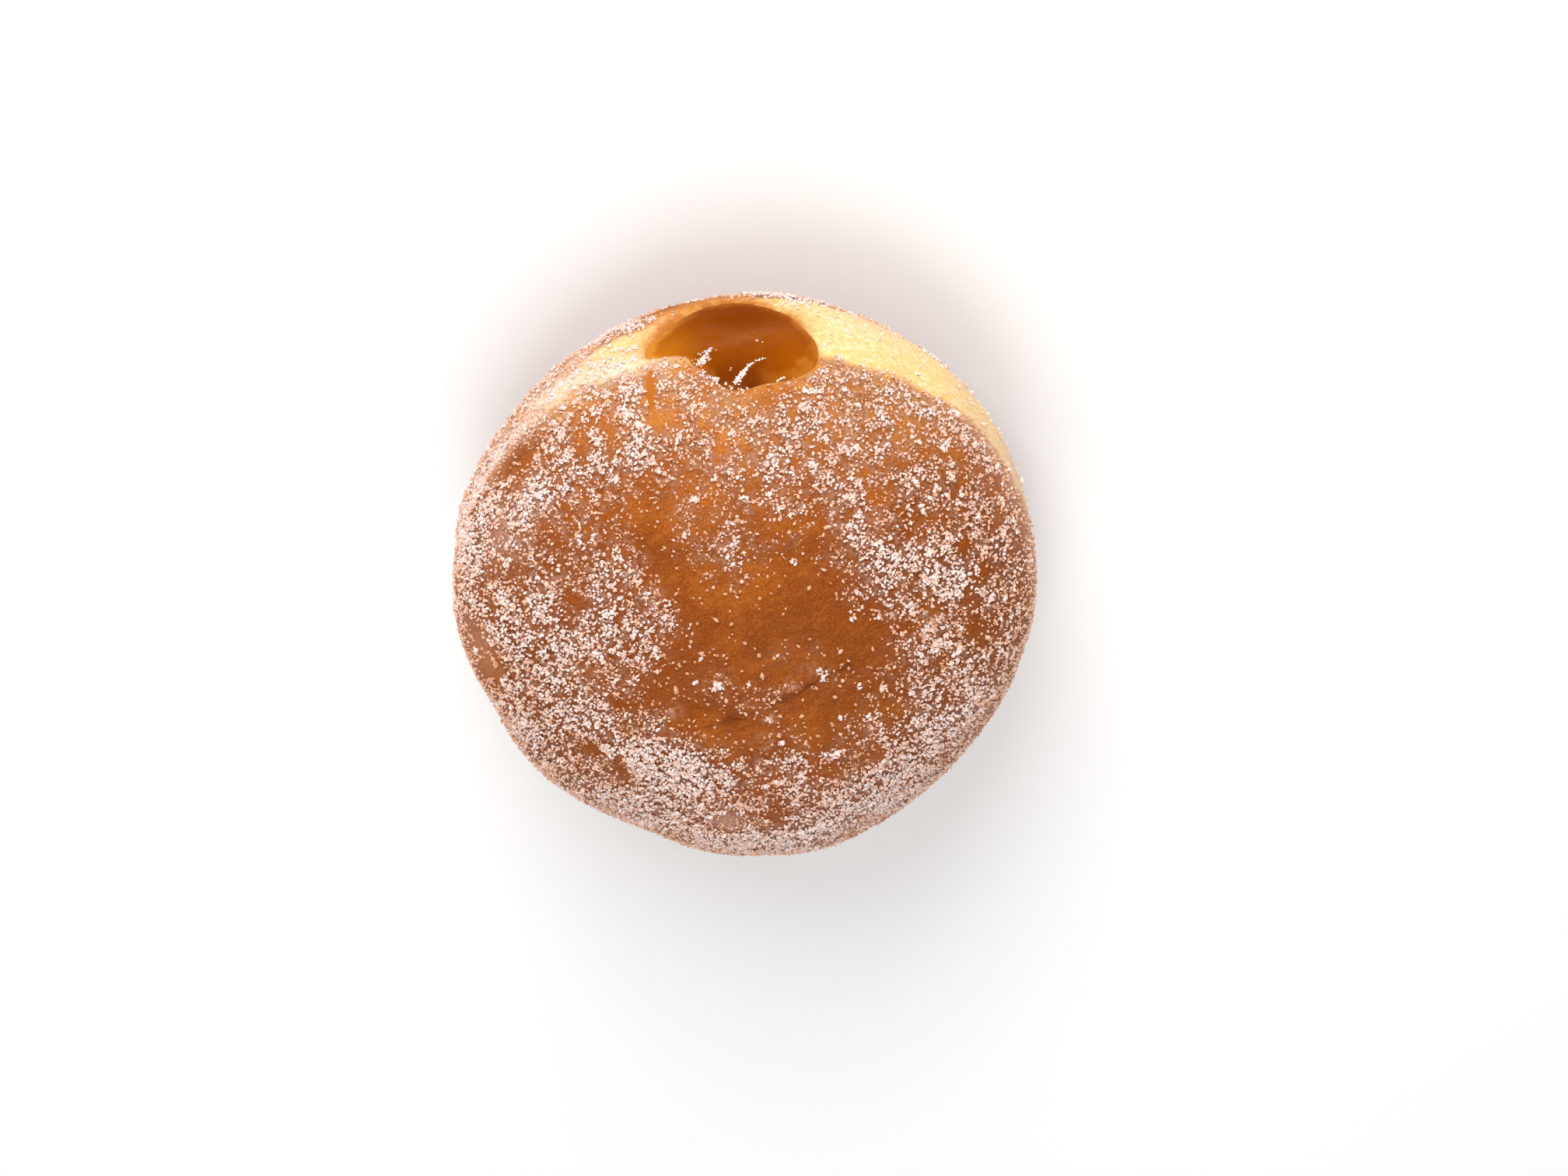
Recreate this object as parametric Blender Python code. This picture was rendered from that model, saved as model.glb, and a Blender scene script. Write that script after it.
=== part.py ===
"""An apple doughnut: a fried ball of dough with a pale waist between two browned crusts, rolled
in sugar, with apple filling that wells out of a mouth in its side and runs back into its middle.

Metres and degrees, +Z up. It stands on its flattened base at the origin, and the filling's mouth
looks along -Y. A bearing is read round the waist from the mouth, positive towards +X. A climb is
read up from the waist. Both are seen from the dough's heart, the point at waist level."""

import math
import random

import bmesh
import bpy
import numpy as np
from mathutils import Matrix, Vector

# The dough as a whole
WIDTH = 0.088
LENGTH = 0.091
WAIST_LEVEL = 0.0245
CROWN_RISE = 0.0295
BASE_DROP = 0.0260
CROWN_POWER = 2.22
BASE_POWER = 2.4
# How far the heart is moved so that the whole stands centred on the origin
CENTRING = (-0.00016, 0.00016)

# Slow waves of the outline seen from above: count, share of the radius, bearing of a crest
LOBES = ((2, 0.004, 45.0), (3, 0.010, -40.0), (4, 0.004, 0.0), (5, 0.004, 0.0))

# Places where the side is fuller or flatter: bearing, half width in degrees, level from the
# waist, half height and amount in metres
SWELLS = (
    (-43.0, 24.0, -0.002, 0.016, 0.00115),
    (0.0, 30.0, -0.008, 0.014, 0.00045),
    (54.0, 22.0, 0.000, 0.014, -0.0008),
    (82.0, 14.0, 0.006, 0.014, -0.0004),
    (112.0, 10.0, 0.009, 0.014, -0.0009),
    (156.0, 18.0, 0.014, 0.013, -0.0014),
    (-136.0, 26.0, 0.012, 0.014, -0.00155),
    (-176.0, 9.0, 0.015, 0.010, -0.0004),
)

# Shallow dips in the crown: bearing, climb, spread in degrees, depth
DIPS = (
    (-62.0, 74.0, 15.0, 0.0007),
    (120.0, 72.0, 8.0, 0.0004),
    (-20.0, 50.0, 6.0, 0.0003),
    (-66.0, 28.0, 4.0, 0.0004),
    (94.0, 20.0, 6.0, 0.0004),
)

# Gentle unevenness all over
KNOB_COUNT = 60
KNOB_HEIGHT = 0.0003
KNOB_SPREAD = (7.0, 13.0)
KNOB_SEED = 12

# The pale waist: its upper and lower edge as bearing and level, and how deep it is drawn in
BAND_TOP = (
    (-170.0, 0.0052), (-125.0, 0.0040), (-90.0, 0.0026), (-65.0, 0.0028), (-35.0, 0.0066),
    (-10.0, 0.0084), (15.0, 0.0082), (35.0, 0.0064), (60.0, 0.0048), (90.0, 0.0045),
    (140.0, 0.0060),
)
BAND_LOW = (
    (-170.0, -0.0048), (-120.0, -0.0062), (-75.0, -0.0090), (-20.0, -0.0096), (0.0, -0.0074),
    (20.0, -0.0042), (60.0, -0.0032), (95.0, -0.0036), (140.0, -0.0052),
)
BAND_PINCH = (
    (-170.0, 0.0008), (-100.0, 0.0003), (-50.0, 0.0), (-15.0, 0.0), (25.0, 0.0007),
    (50.0, 0.0010), (90.0, 0.0006), (140.0, 0.0009),
)
PINCH_REACH = 1.25
PINCH_POWER = 1.5

# The mouth that the filling wells out of. Its edge is the angle from the mouth's axis at each
# angle round it, from +X over the top.
MOUTH_MIDDLE = (0.0015, -0.0445, 0.00375)
MOUTH_EDGE = (
    (3.0, 16.6), (19.0, 11.2), (42.0, 10.0), (68.0, 11.0), (92.0, 13.2), (118.0, 13.4),
    (147.0, 16.2), (168.0, 16.1), (196.0, 13.2), (214.0, 12.6), (242.0, 12.0), (271.0, 13.0),
    (296.0, 13.0), (318.0, 13.3), (341.0, 14.8),
)
LIP_WIDTH = 0.0024
LIP_DROP = 0.0005
LIP_START = 0.0005
GAP = 0.0003

# The filling's open face: place along +X and up from the mouth's axis, spread, height
FACE_FORMS = (
    (-0.0010, -0.0032, 0.0062, -0.0009),
    (-0.0020, 0.0058, 0.0044, 0.0013),
    (0.0040, 0.0042, 0.0026, 0.0005),
    (-0.0078, 0.0030, 0.0050, 0.0009),
)
FACE_EDGE_POWER = 4
FACE_SHARES = (0.2, 0.4, 0.6, 0.78, 0.92, 1.0)

# The filling behind its face: distance from the heart towards the mouth, half width, half height
THROAT = ((0.0385, 0.0078, 0.0066), (0.0335, 0.0066, 0.0056), (0.0300, 0.0070, 0.0060))
SHOULDER_SHARE = 0.78
SHOULDER_DEPTH = 0.0022
POCKET_MIDDLE = 0.0110
POCKET_HALF_LENGTH = 0.0180
POCKET_HALF_WIDTH = 0.0140
POCKET_HALF_HEIGHT = 0.0100
POCKET_ANGLES = (38.0, 62.0, 90.0, 118.0, 146.0, 165.0)

# Steps of the mesh
SECTORS = 70
FIRST_STEP = 0.0007
STEP_GROWTH = 1.22
LAST_STEP = 0.0035
HALF_GIRTH = 0.1300
SHARP_ANGLE = 42.0
TINY = 1e-6

# Places where the sugar lies thick on the crust: bearing, climb, spread in degrees
SUGAR_PATCHES = (
    (52, 21, 5), (71, 15, 5), (62, 16, 4), (40, 11, 5), (49, 42, 5), (23, 25, 3), (11, 23, 4),
    (1, 25, 4), (-20, 16, 4), (-1, 45, 5), (3, 51, 3), (-22, 44, 3), (-34, 36, 4), (-46, 41, 6),
    (-62, 34, 6), (-61, 43, 4), (-66, 16, 5), (49, 59, 7), (65, 52, 6), (78, 43, 8),
    (108, 51, 4), (127, 57, 5), (149, 61, 5), (118, 67, 4), (114, 29, 7), (138, 34, 6),
    (154, 34, 5), (180, 48, 3), (-158, 50, 3), (-142, 40, 6), (-141, 28, 4), (-117, 36, 5),
    (-81, 43, 6), (-95, 30, 6), (-106, 32, 5), (-171, 33, 5), (171, 34, 5), (64, 82, 2),
    (-143, 79, 2), (80, -28, 7), (130, 5, 8), (165, -20, 8), (-160, 8, 7), (-125, -22, 8),
    (-85, -30, 7), (-35, -28, 6), (30, -30, 6),
)
LUMPS_PER_PATCH = 2
LUMP_SEED = 5
LUMP_HALF_LENGTH = (0.0010, 0.0019)
LUMP_HALF_WIDTH = (0.0008, 0.0013)
LUMP_HALF_HEIGHT = (0.0005, 0.0007)
LUMP_SUNK = 0.0001
LUMP_CLEARANCE = 2.5
LUMP_LOWEST = 0.0025
LUMP_ROUGHNESS = 0.12
STEEPEST = 0.3

# A crumb of dark crust that stands out of the side
CRUMB_BEARING = 74.0
CRUMB_CLIMB = -3.0
CRUMB_HALF_SIZE = (0.0011, 0.0009, 0.0009)

# Colours, as shader values
CRUST_COLOUR = (0.40, 0.105, 0.012, 1.0)
CRUST_ROUGHNESS = 0.6
FILLING_COLOUR = (0.33, 0.075, 0.003, 1.0)
FILLING_ROUGHNESS = 0.2


def clear_scene():
    for thing in list(bpy.data.objects):
        bpy.data.objects.remove(thing, do_unlink=True)


def material(name, colour, roughness):
    made = bpy.data.materials.new(name)
    made.use_nodes = True
    shader = made.node_tree.nodes["Principled BSDF"]
    shader.inputs["Base Color"].default_value = colour
    shader.inputs["Roughness"].default_value = roughness
    shader.inputs["Metallic"].default_value = 0.0
    return made


def unit(vectors):
    return vectors / np.linalg.norm(vectors, axis=-1, keepdims=True)


def turn_between(bearing, other):
    """The turn from one bearing to another, from -180 to 180 degrees."""
    return (bearing - other + 180.0) % 360.0 - 180.0


def round_curve(points, bearing):
    """A smooth closed curve through points of bearing and value, read at any bearing."""
    knots = np.array([point[0] for point in points])
    values = np.array([point[1] for point in points])
    ahead = np.roll(values, -1) - np.roll(values, 1)
    spans = (np.roll(knots, -1) - np.roll(knots, 1)) % 360.0
    slopes = ahead / spans
    turned = (bearing - knots[0]) % 360.0
    first = np.searchsorted(knots - knots[0], turned, side="right") - 1
    second = (first + 1) % len(knots)
    span = (knots[second] - knots[first]) % 360.0
    share = (turned - (knots[first] - knots[0])) / span
    left = values[first] + slopes[first] * span * share
    right = values[second] - slopes[second] * span * (1.0 - share)
    blend = share * share * (3.0 - 2.0 * share)
    return left * (1.0 - blend) + right * blend


def towards(bearing, climb):
    """The direction of a bearing and a climb, in degrees."""
    turn = np.radians(bearing)
    rise = np.radians(climb)
    flat = np.cos(rise)
    return np.stack([flat * np.sin(turn), -flat * np.cos(turn), np.sin(rise)], axis=-1)


def knobs():
    """The places, spreads and heights of the gentle unevenness."""
    draw = random.Random(KNOB_SEED)
    for _ in range(KNOB_COUNT):
        climb = math.degrees(math.asin(draw.uniform(-1.0, 1.0)))
        bearing = draw.uniform(-180.0, 180.0)
        spread = draw.uniform(*KNOB_SPREAD)
        yield towards(bearing, climb), spread, draw.uniform(-KNOB_HEIGHT, KNOB_HEIGHT)


def hill(directions, place, spread):
    """A round hill of height 1 about a place, whose spread is in degrees."""
    near = np.clip(directions @ place, -1.0, 1.0)
    return np.exp(-(np.degrees(np.arccos(near)) / spread) ** 2)


def band_pinch(bearing, level):
    """How deep the pale waist is drawn in at a bearing and a level."""
    top = round_curve(BAND_TOP, bearing)
    low = round_curve(BAND_LOW, bearing)
    off = (level - (top + low) / 2) / ((top - low) / 2)
    inside = np.clip(1.0 - (off / PINCH_REACH) ** 2, 0.0, 1.0)
    return round_curve(BAND_PINCH, bearing) * inside ** PINCH_POWER


def reach(directions):
    """The distance from the heart to the dough's surface along each direction."""
    bearing = np.degrees(np.arctan2(directions[..., 0], -directions[..., 1]))
    plan = 1.0
    for count, share, at in LOBES:
        plan = plan + share * np.cos(np.radians(count * (bearing - at)))
    across = np.hypot(directions[..., 0] / (WIDTH / 2), directions[..., 1] / (LENGTH / 2)) / plan
    rising = directions[..., 2] >= 0
    power = np.where(rising, CROWN_POWER, BASE_POWER)
    height = np.where(rising, CROWN_RISE, BASE_DROP)
    plain = (across ** power + (np.abs(directions[..., 2]) / height) ** power) ** (-1.0 / power)
    level = plain * directions[..., 2]
    full = plain - band_pinch(bearing, level)
    for at, wide, high, tall, amount in SWELLS:
        aside = turn_between(bearing, at) / wide
        above = (level - high) / tall
        full = full + amount * np.exp(-aside ** 2 - above ** 2)
    for at, climb, spread, depth in DIPS:
        full = full - depth * hill(directions, towards(at, climb), spread)
    for place, spread, amount in knobs():
        full = full + amount * hill(directions, place, spread)
    return full


def heart():
    return np.array([CENTRING[0], CENTRING[1], WAIST_LEVEL])


def placed(directions, distances):
    """Points at distances from the heart, none of them below the floor."""
    to_floor = WAIST_LEVEL / np.maximum(-directions[..., 2], TINY)
    points = heart() + directions * np.minimum(distances, to_floor)[..., None]
    points[..., 2] = np.where(points[..., 2] < TINY, 0.0, points[..., 2])
    return points


def mouth_axes():
    """The mouth's outward axis, the side axis near +X and the axis near +Z."""
    out = unit(np.array(MOUTH_MIDDLE))
    side = np.array([1.0, 0.0, 0.0])
    side = unit(side - (side @ out) * out)
    return out, side, np.cross(out, side)


def around_mouth(turns, angles):
    """Directions at angles from the mouth's axis, at turns round it."""
    out, side, above = mouth_axes()
    turn = np.radians(turns)[..., None]
    angle = np.radians(angles)[..., None]
    return np.cos(angle) * out + np.sin(angle) * (np.cos(turn) * side + np.sin(turn) * above)


def sector_turns():
    return np.arange(SECTORS) * (360.0 / SECTORS)


def lip_drop(beyond):
    """How far the dough rolls in at a distance beyond the mouth's edge."""
    return LIP_DROP * np.clip(1.0 - beyond / LIP_WIDTH, 0.0, 1.0) ** 2


def dough_steps():
    """Distances from the mouth's edge of the rings on the dough's outside."""
    step = FIRST_STEP
    distance = LIP_START
    while distance < HALF_GIRTH - LAST_STEP:
        yield distance
        distance = distance + step
        step = min(step * STEP_GROWTH, LAST_STEP)


def dough_rings():
    """Rings over the dough's outside, from the mouth's edge to near the far pole."""
    turns = sector_turns()
    edge = round_curve(MOUTH_EDGE, turns)
    for distance in dough_steps():
        angles = edge + (180.0 - edge) * distance / HALF_GIRTH
        directions = around_mouth(turns, angles)
        full = reach(directions)
        beyond = np.radians(angles - edge) * full
        yield placed(directions, full - lip_drop(beyond))


def face_ring(turns, share):
    """A ring on the filling's open face, at a share of the way out to the mouth's edge."""
    angles = share * round_curve(MOUTH_EDGE, turns)
    directions = around_mouth(turns, angles)
    full = reach(directions)
    aside = full * np.sin(np.radians(angles)) * np.cos(np.radians(turns))
    above = full * np.sin(np.radians(angles)) * np.sin(np.radians(turns))
    form = 0.0
    for at_side, at_above, spread, height in FACE_FORMS:
        far = np.hypot(aside - at_side, above - at_above) / spread
        form = form + height * np.exp(-far ** 2)
    inside = 1.0 - share ** FACE_EDGE_POWER
    return placed(directions, full - LIP_DROP + inside * form)


def oval(distance, half_width, half_height):
    """A ring round the mouth's axis, at a distance from the heart."""
    out, side, above = mouth_axes()
    turn = np.radians(sector_turns())[:, None]
    ring = distance * out + half_width * np.cos(turn) * side + half_height * np.sin(turn) * above
    return heart() + ring


def back_rings():
    """Rings of the filling behind its face: under the lip, down the throat, round the pocket."""
    turns = sector_turns()
    angles = round_curve(MOUTH_EDGE, turns) * SHOULDER_SHARE
    directions = around_mouth(turns, angles)
    yield placed(directions, reach(directions) - LIP_DROP - SHOULDER_DEPTH)
    for distance, half_width, half_height in THROAT:
        yield oval(distance, half_width, half_height)
    for angle in POCKET_ANGLES:
        part = math.radians(angle)
        yield oval(
            POCKET_MIDDLE + POCKET_HALF_LENGTH * math.cos(part),
            POCKET_HALF_WIDTH * math.sin(part),
            POCKET_HALF_HEIGHT * math.sin(part),
        )


def on_axis(distance):
    return heart() + distance * mouth_axes()[0]


def grown(rings, end):
    """The rings moved out by the gap along their surface's normals, with their end point."""
    rings = np.array(rings)
    along = np.gradient(rings, axis=0)
    round_them = np.roll(rings, -1, axis=1) - np.roll(rings, 1, axis=1)
    normals = unit(np.cross(along, round_them))
    outwards = rings - rings.mean(axis=1, keepdims=True)
    normals = normals * np.sign((normals * outwards).sum())
    return list(rings + GAP * normals), end - GAP * mouth_axes()[0]


def skin(name, start, rings, end):
    """A closed body over rings, from a start point to an end point, shaded smooth."""
    shape = bmesh.new()
    first = shape.verts.new(start)
    loops = [[shape.verts.new(point) for point in ring] for ring in rings]
    last = shape.verts.new(end)
    for left, right in zip(loops[0], loops[0][1:] + loops[0][:1]):
        shape.faces.new((first, left, right))
    for inner, outer in zip(loops, loops[1:]):
        for index in range(SECTORS):
            beside = (index + 1) % SECTORS
            shape.faces.new((inner[index], outer[index], outer[beside], inner[beside]))
    for left, right in zip(loops[-1], loops[-1][1:] + loops[-1][:1]):
        shape.faces.new((last, right, left))
    bmesh.ops.recalc_face_normals(shape, faces=shape.faces)
    mesh = bpy.data.meshes.new(name)
    shape.to_mesh(mesh)
    shape.free()
    mesh.shade_smooth()
    thing = bpy.data.objects.new(name, mesh)
    bpy.context.scene.collection.objects.link(thing)
    return thing


def make_filling():
    """The filling, from the middle of its open face to the far end of its pocket."""
    turns = sector_turns()
    middle = face_ring(turns, 0.0)[0]
    rings = [face_ring(turns, share) for share in FACE_SHARES]
    rings.extend(back_rings())
    filling = skin("apple_filling", middle, rings, on_axis(POCKET_MIDDLE - POCKET_HALF_LENGTH))
    filling.data.materials.append(material("apple_filling", FILLING_COLOUR, FILLING_ROUGHNESS))
    return filling


def make_dough():
    """The dough, from its far side over the outside, in at the mouth and round the pocket."""
    far_pole = around_mouth(np.array([0.0]), np.array([180.0]))
    outside = list(dough_rings())
    behind = [face_ring(sector_turns(), 1.0), *back_rings()]
    inside, pocket_end = grown(behind, on_axis(POCKET_MIDDLE - POCKET_HALF_LENGTH))
    rings = outside[::-1] + inside
    dough = skin("dough", placed(far_pole, reach(far_pole))[0], rings, pocket_end)
    dough.data.materials.append(material("crust", CRUST_COLOUR, CRUST_ROUGHNESS))
    return dough


def clear_of_mouth(direction):
    """Whether a direction lies well outside the mouth's edge."""
    out, side, above = mouth_axes()
    angle = math.degrees(math.acos(float(np.clip(direction @ out, -1.0, 1.0))))
    turn = math.degrees(math.atan2(float(direction @ above), float(direction @ side)))
    return angle > float(round_curve(MOUTH_EDGE, np.array([turn]))[0]) + LUMP_CLEARANCE


def clear_of_floor(direction):
    """Whether a lump in this direction stays off the floor the doughnut rests on."""
    here = placed(direction[None, :], reach(direction[None, :]))[0]
    return here[2] > LUMP_LOWEST


def lump(name, direction, half_sizes, spin, draw):
    """A rough little lump that sits in the crust, its third half size standing out of it."""
    shape = bmesh.new()
    bmesh.ops.create_icosphere(shape, subdivisions=1, radius=1.0)
    for vert in shape.verts:
        vert.co *= draw.uniform(1.0 - LUMP_ROUGHNESS, 1.0 + LUMP_ROUGHNESS)
    mesh = bpy.data.meshes.new(name)
    shape.to_mesh(mesh)
    shape.free()
    sunk = reach(direction[None, :]) - LUMP_SUNK
    place = Matrix.Translation(Vector(placed(direction[None, :], sunk)[0]))
    facing = Vector(direction).to_track_quat("Z", "Y").to_matrix().to_4x4()
    size = Matrix.Diagonal((*half_sizes, 1.0))
    mesh.transform(place @ facing @ Matrix.Rotation(spin, 4, "Z") @ size)
    return bpy.data.objects.new(name, mesh)


def lumps():
    """Lumps of sugar where it lies thick, clear of the mouth and of the floor."""
    draw = random.Random(LUMP_SEED)
    for patch, (bearing, climb, spread) in enumerate(SUGAR_PATCHES):
        for number in range(LUMPS_PER_PATCH):
            aside = draw.gauss(0.0, spread) / max(math.cos(math.radians(climb)), STEEPEST)
            direction = towards(bearing + aside, climb + draw.gauss(0.0, spread))
            sizes = [draw.uniform(*LUMP_HALF_LENGTH), draw.uniform(*LUMP_HALF_WIDTH)]
            sizes.append(draw.uniform(*LUMP_HALF_HEIGHT))
            spin = draw.uniform(0.0, math.pi)
            if clear_of_mouth(direction) and clear_of_floor(direction):
                yield lump(f"lump_{patch}_{number}", direction, sizes, spin, draw)
    crumb = towards(CRUMB_BEARING, CRUMB_CLIMB)
    yield lump("crumb", crumb, CRUMB_HALF_SIZE, 0.0, draw)


def fuse(body, pieces):
    """Joins the pieces to the body with one union and removes them."""
    group = bpy.data.collections.new("fused")
    bpy.context.scene.collection.children.link(group)
    for piece in pieces:
        group.objects.link(piece)
    union = body.modifiers.new("union", "BOOLEAN")
    union.operation = "UNION"
    union.operand_type = "COLLECTION"
    union.collection = group
    union.solver = "EXACT"
    bpy.context.view_layer.update()
    evaluated = body.evaluated_get(bpy.context.evaluated_depsgraph_get())
    whole = bpy.data.meshes.new_from_object(evaluated)
    body.modifiers.clear()
    whole.shade_smooth()
    whole.set_sharp_from_angle(angle=math.radians(SHARP_ANGLE))
    body.data = whole
    for piece in list(group.objects):
        bpy.data.objects.remove(piece, do_unlink=True)
    bpy.data.collections.remove(group)


clear_scene()
make_filling()
fuse(make_dough(), lumps())
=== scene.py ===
"""The looks of the apple doughnut: the browned crust with its pale waist, the wet apple filling in
its side and the sugar grains all over it. Metres and degrees, in the frame's own axes."""
import math
import random

import bpy
import numpy as np
from mathutils import Matrix, Vector


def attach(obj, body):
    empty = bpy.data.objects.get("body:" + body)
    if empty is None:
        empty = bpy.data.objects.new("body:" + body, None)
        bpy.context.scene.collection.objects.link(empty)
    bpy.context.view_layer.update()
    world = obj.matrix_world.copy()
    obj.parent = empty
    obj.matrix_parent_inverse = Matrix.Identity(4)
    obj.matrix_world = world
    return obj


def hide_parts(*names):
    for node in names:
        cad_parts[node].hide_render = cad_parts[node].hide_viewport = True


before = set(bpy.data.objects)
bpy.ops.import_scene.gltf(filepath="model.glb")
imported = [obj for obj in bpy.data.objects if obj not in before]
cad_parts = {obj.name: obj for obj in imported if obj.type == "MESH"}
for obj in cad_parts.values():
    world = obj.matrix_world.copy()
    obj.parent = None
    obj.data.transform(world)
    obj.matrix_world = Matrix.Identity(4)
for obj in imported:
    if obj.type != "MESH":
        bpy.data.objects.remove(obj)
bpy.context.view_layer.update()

# The same form as the solids have. A lobe of the plan has a count, a share and a bearing, a swell
# a bearing and its width, a level and its height, and a rise. A dip has a bearing, a climb, a
# spread in degrees and a depth, and a form of the open face has its place to the side and up, its
# spread along and across, its slant and its height.
WIDTH = 0.088
LENGTH = 0.091
WAIST_LEVEL = 0.0245
CROWN_RISE = 0.0295
BASE_DROP = 0.0260
CROWN_POWER = 2.22
BASE_POWER = 2.4
CENTRING = (-0.00016, 0.00016)
LOBES = ((2, 0.004, 45.0), (3, 0.010, -40.0), (4, 0.004, 0.0), (5, 0.004, 0.0))
SWELLS = (
    (-43.0, 24.0, -0.002, 0.016, 0.00115),
    (0.0, 30.0, -0.008, 0.014, 0.00045),
    (54.0, 22.0, 0.000, 0.014, -0.0008),
    (82.0, 14.0, 0.006, 0.014, -0.0004),
    (112.0, 10.0, 0.009, 0.014, -0.0009),
    (156.0, 18.0, 0.014, 0.013, -0.0014),
    (-136.0, 26.0, 0.012, 0.014, -0.00155),
    (-176.0, 9.0, 0.015, 0.010, -0.0004),
)
DIPS = (
    (-62.0, 74.0, 15.0, 0.0007),
    (120.0, 72.0, 8.0, 0.0004),
    (-20.0, 50.0, 6.0, 0.0003),
    (-66.0, 28.0, 4.0, 0.0004),
    (94.0, 20.0, 6.0, 0.0004),
)
KNOB_COUNT = 60
KNOB_HEIGHT = 0.0003
KNOB_SPREAD = (7.0, 13.0)
KNOB_SEED = 12
BAND_TOP = (
    (-170.0, 0.0052), (-125.0, 0.0040), (-90.0, 0.0026), (-65.0, 0.0028), (-35.0, 0.0066),
    (-10.0, 0.0084), (15.0, 0.0082), (35.0, 0.0064), (60.0, 0.0048), (90.0, 0.0045),
    (140.0, 0.0060),
)
BAND_LOW = (
    (-170.0, -0.0048), (-120.0, -0.0062), (-75.0, -0.0090), (-20.0, -0.0096), (0.0, -0.0074),
    (20.0, -0.0042), (60.0, -0.0032), (95.0, -0.0036), (140.0, -0.0052),
)
BAND_PINCH = (
    (-170.0, 0.0008), (-100.0, 0.0003), (-50.0, 0.0), (-15.0, 0.0), (25.0, 0.0007),
    (50.0, 0.0010), (90.0, 0.0006), (140.0, 0.0009),
)
PINCH_REACH = 1.25
PINCH_POWER = 1.5
MOUTH_MIDDLE = (0.0015, -0.0445, 0.00375)
MOUTH_EDGE = (
    (3.0, 16.6), (19.0, 11.2), (42.0, 10.0), (68.0, 11.0), (92.0, 13.2), (118.0, 13.4),
    (147.0, 16.2), (168.0, 16.1), (196.0, 13.2), (214.0, 12.6), (242.0, 12.0), (271.0, 13.0),
    (296.0, 13.0), (318.0, 13.3), (341.0, 14.8),
)
LIP_WIDTH = 0.0024
LIP_DROP = 0.0005
FACE_FORMS = (
    (-0.0010, -0.0032, 0.0062, 0.0062, 0.0, -0.0009),
    (-0.0020, 0.0058, 0.0044, 0.0044, 0.0, 0.0013),
    (0.0040, 0.0042, 0.0026, 0.0026, 0.0, 0.0005),
    (-0.0078, 0.0030, 0.0050, 0.0050, 0.0, 0.0009),
    (0.0038, 0.0045, 0.0022, 0.0007, 54.0, 0.00035),
    (-0.0018, 0.0080, 0.0024, 0.0006, 49.0, 0.00040),
    (-0.0060, 0.0070, 0.0020, 0.0006, 30.0, 0.00022),
    (-0.0030, 0.0006, 0.0036, 0.0016, 15.0, 0.00018),
)
FACE_NOISE = ((0.0042, 0.00016), (0.0018, 0.00008), (0.0007, 0.00003))
FACE_NOISE_SEED = 20
FACE_EDGE_POWER = 4
THROAT = ((0.0385, 0.0078, 0.0066), (0.0335, 0.0066, 0.0056), (0.0300, 0.0070, 0.0060))
SHOULDER_SHARE = 0.78
SHOULDER_DEPTH = 0.0022
POCKET_MIDDLE = 0.0110
POCKET_HALF_LENGTH = 0.0180
POCKET_HALF_WIDTH = 0.0140
POCKET_HALF_HEIGHT = 0.0100
POCKET_ANGLES = (38.0, 62.0, 90.0, 118.0, 146.0, 165.0)
HALF_GIRTH = 0.1300
TINY = 1e-6
CRUMB_BEARING = 74.0
CRUMB_CLIMB = -3.0
CRUMB_HALF_SIZE = (0.0011, 0.0009, 0.0009)
CRUMB_SUNK = 0.0001
CRUMB_RINGS = 14
CRUMB_SECTORS = 24
CRUMB_ROUGHNESS = 0.22
CRUMB_GRAIN = 0.0007
CRUMB_SEED = 97

# A millimetre, in which small things are measured
MM = 0.001

# The mesh here is finer, and the filling reaches just into the dough's wall
DOUGH_SECTORS = 392
DOUGH_START = 0.00005
DOUGH_FIRST_STEP = 0.00012
DOUGH_STEP_GROWTH = 1.05
DOUGH_LAST_STEP = 0.00062
FILLING_SECTORS = 240
FILLING_FACE_RINGS = 56
WALL_GAP = -0.00005

# Fine relief of the crust: size of the unevenness and its height
RELIEF = ((0.0062, 0.00011), (0.0026, 0.00007), (0.0012, 0.00004), (0.0007, 0.00002))
RELIEF_SEED = 40
# Small hollows: bearing, climb, spread in degrees, depth
HOLLOWS = ((-86.0, 70.6, 2.0, 0.00022), (-120.0, 77.0, 2.2, 0.00012), (160.0, 79.0, 2.0, 0.00010))
# Levels over which relief fades towards the base, and how far it fades from the lip
BASE_CALM = (-0.0245, -0.0225)
LIP_CALM = 0.0012
# A crease over the crown: where it crosses X = 0, its slope, its ends, its drop, how it fades
# behind, how it wanders and breaks, and the levels from which it shows
CREASE_Y = 0.0036
CREASE_SLOPE = 0.50
CREASE_FROM = -0.0165
CREASE_TO = 0.0070
CREASE_SOFTNESS = 0.00045
CREASE_DROP = 0.00040
CREASE_FADE = 0.0050
CREASE_END = 0.004
CREASE_WANDER = 0.0008
CREASE_WANDER_SIZE = 0.0032
CREASE_BREAK_SIZE = 0.0045
CREASE_SEED = 48
CREASE_LEVELS = (0.015, 0.020)
# Thin lifted edges of crust along the crease: points of the edge, width back, height, in mm
FLAKES = (
    (((-11.6, -2.3), (-10.2, -1.6), (-9.3, -0.9), (-8.2, 0.2), (-6.4, 0.7), (-4.6, 1.5),
      (-3.4, 2.6)), 2.6, 0.38),
    (((-2.2, 3.4), (-1.0, 3.6), (0.6, 4.3), (2.4, 5.0), (4.4, 5.9), (5.8, 6.2)), 2.2, 0.30),
    (((-16.0, -4.6), (-14.6, -3.6), (-13.2, -3.4), (-12.2, -2.8)), 1.8, 0.24),
)
# How many steps the mesh has along a lifted edge, back from it and down under it
FLAKE_STEPS = 150
FLAKE_BACK_STEPS = 14
FLAKE_UNDER_STEPS = 4
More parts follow.
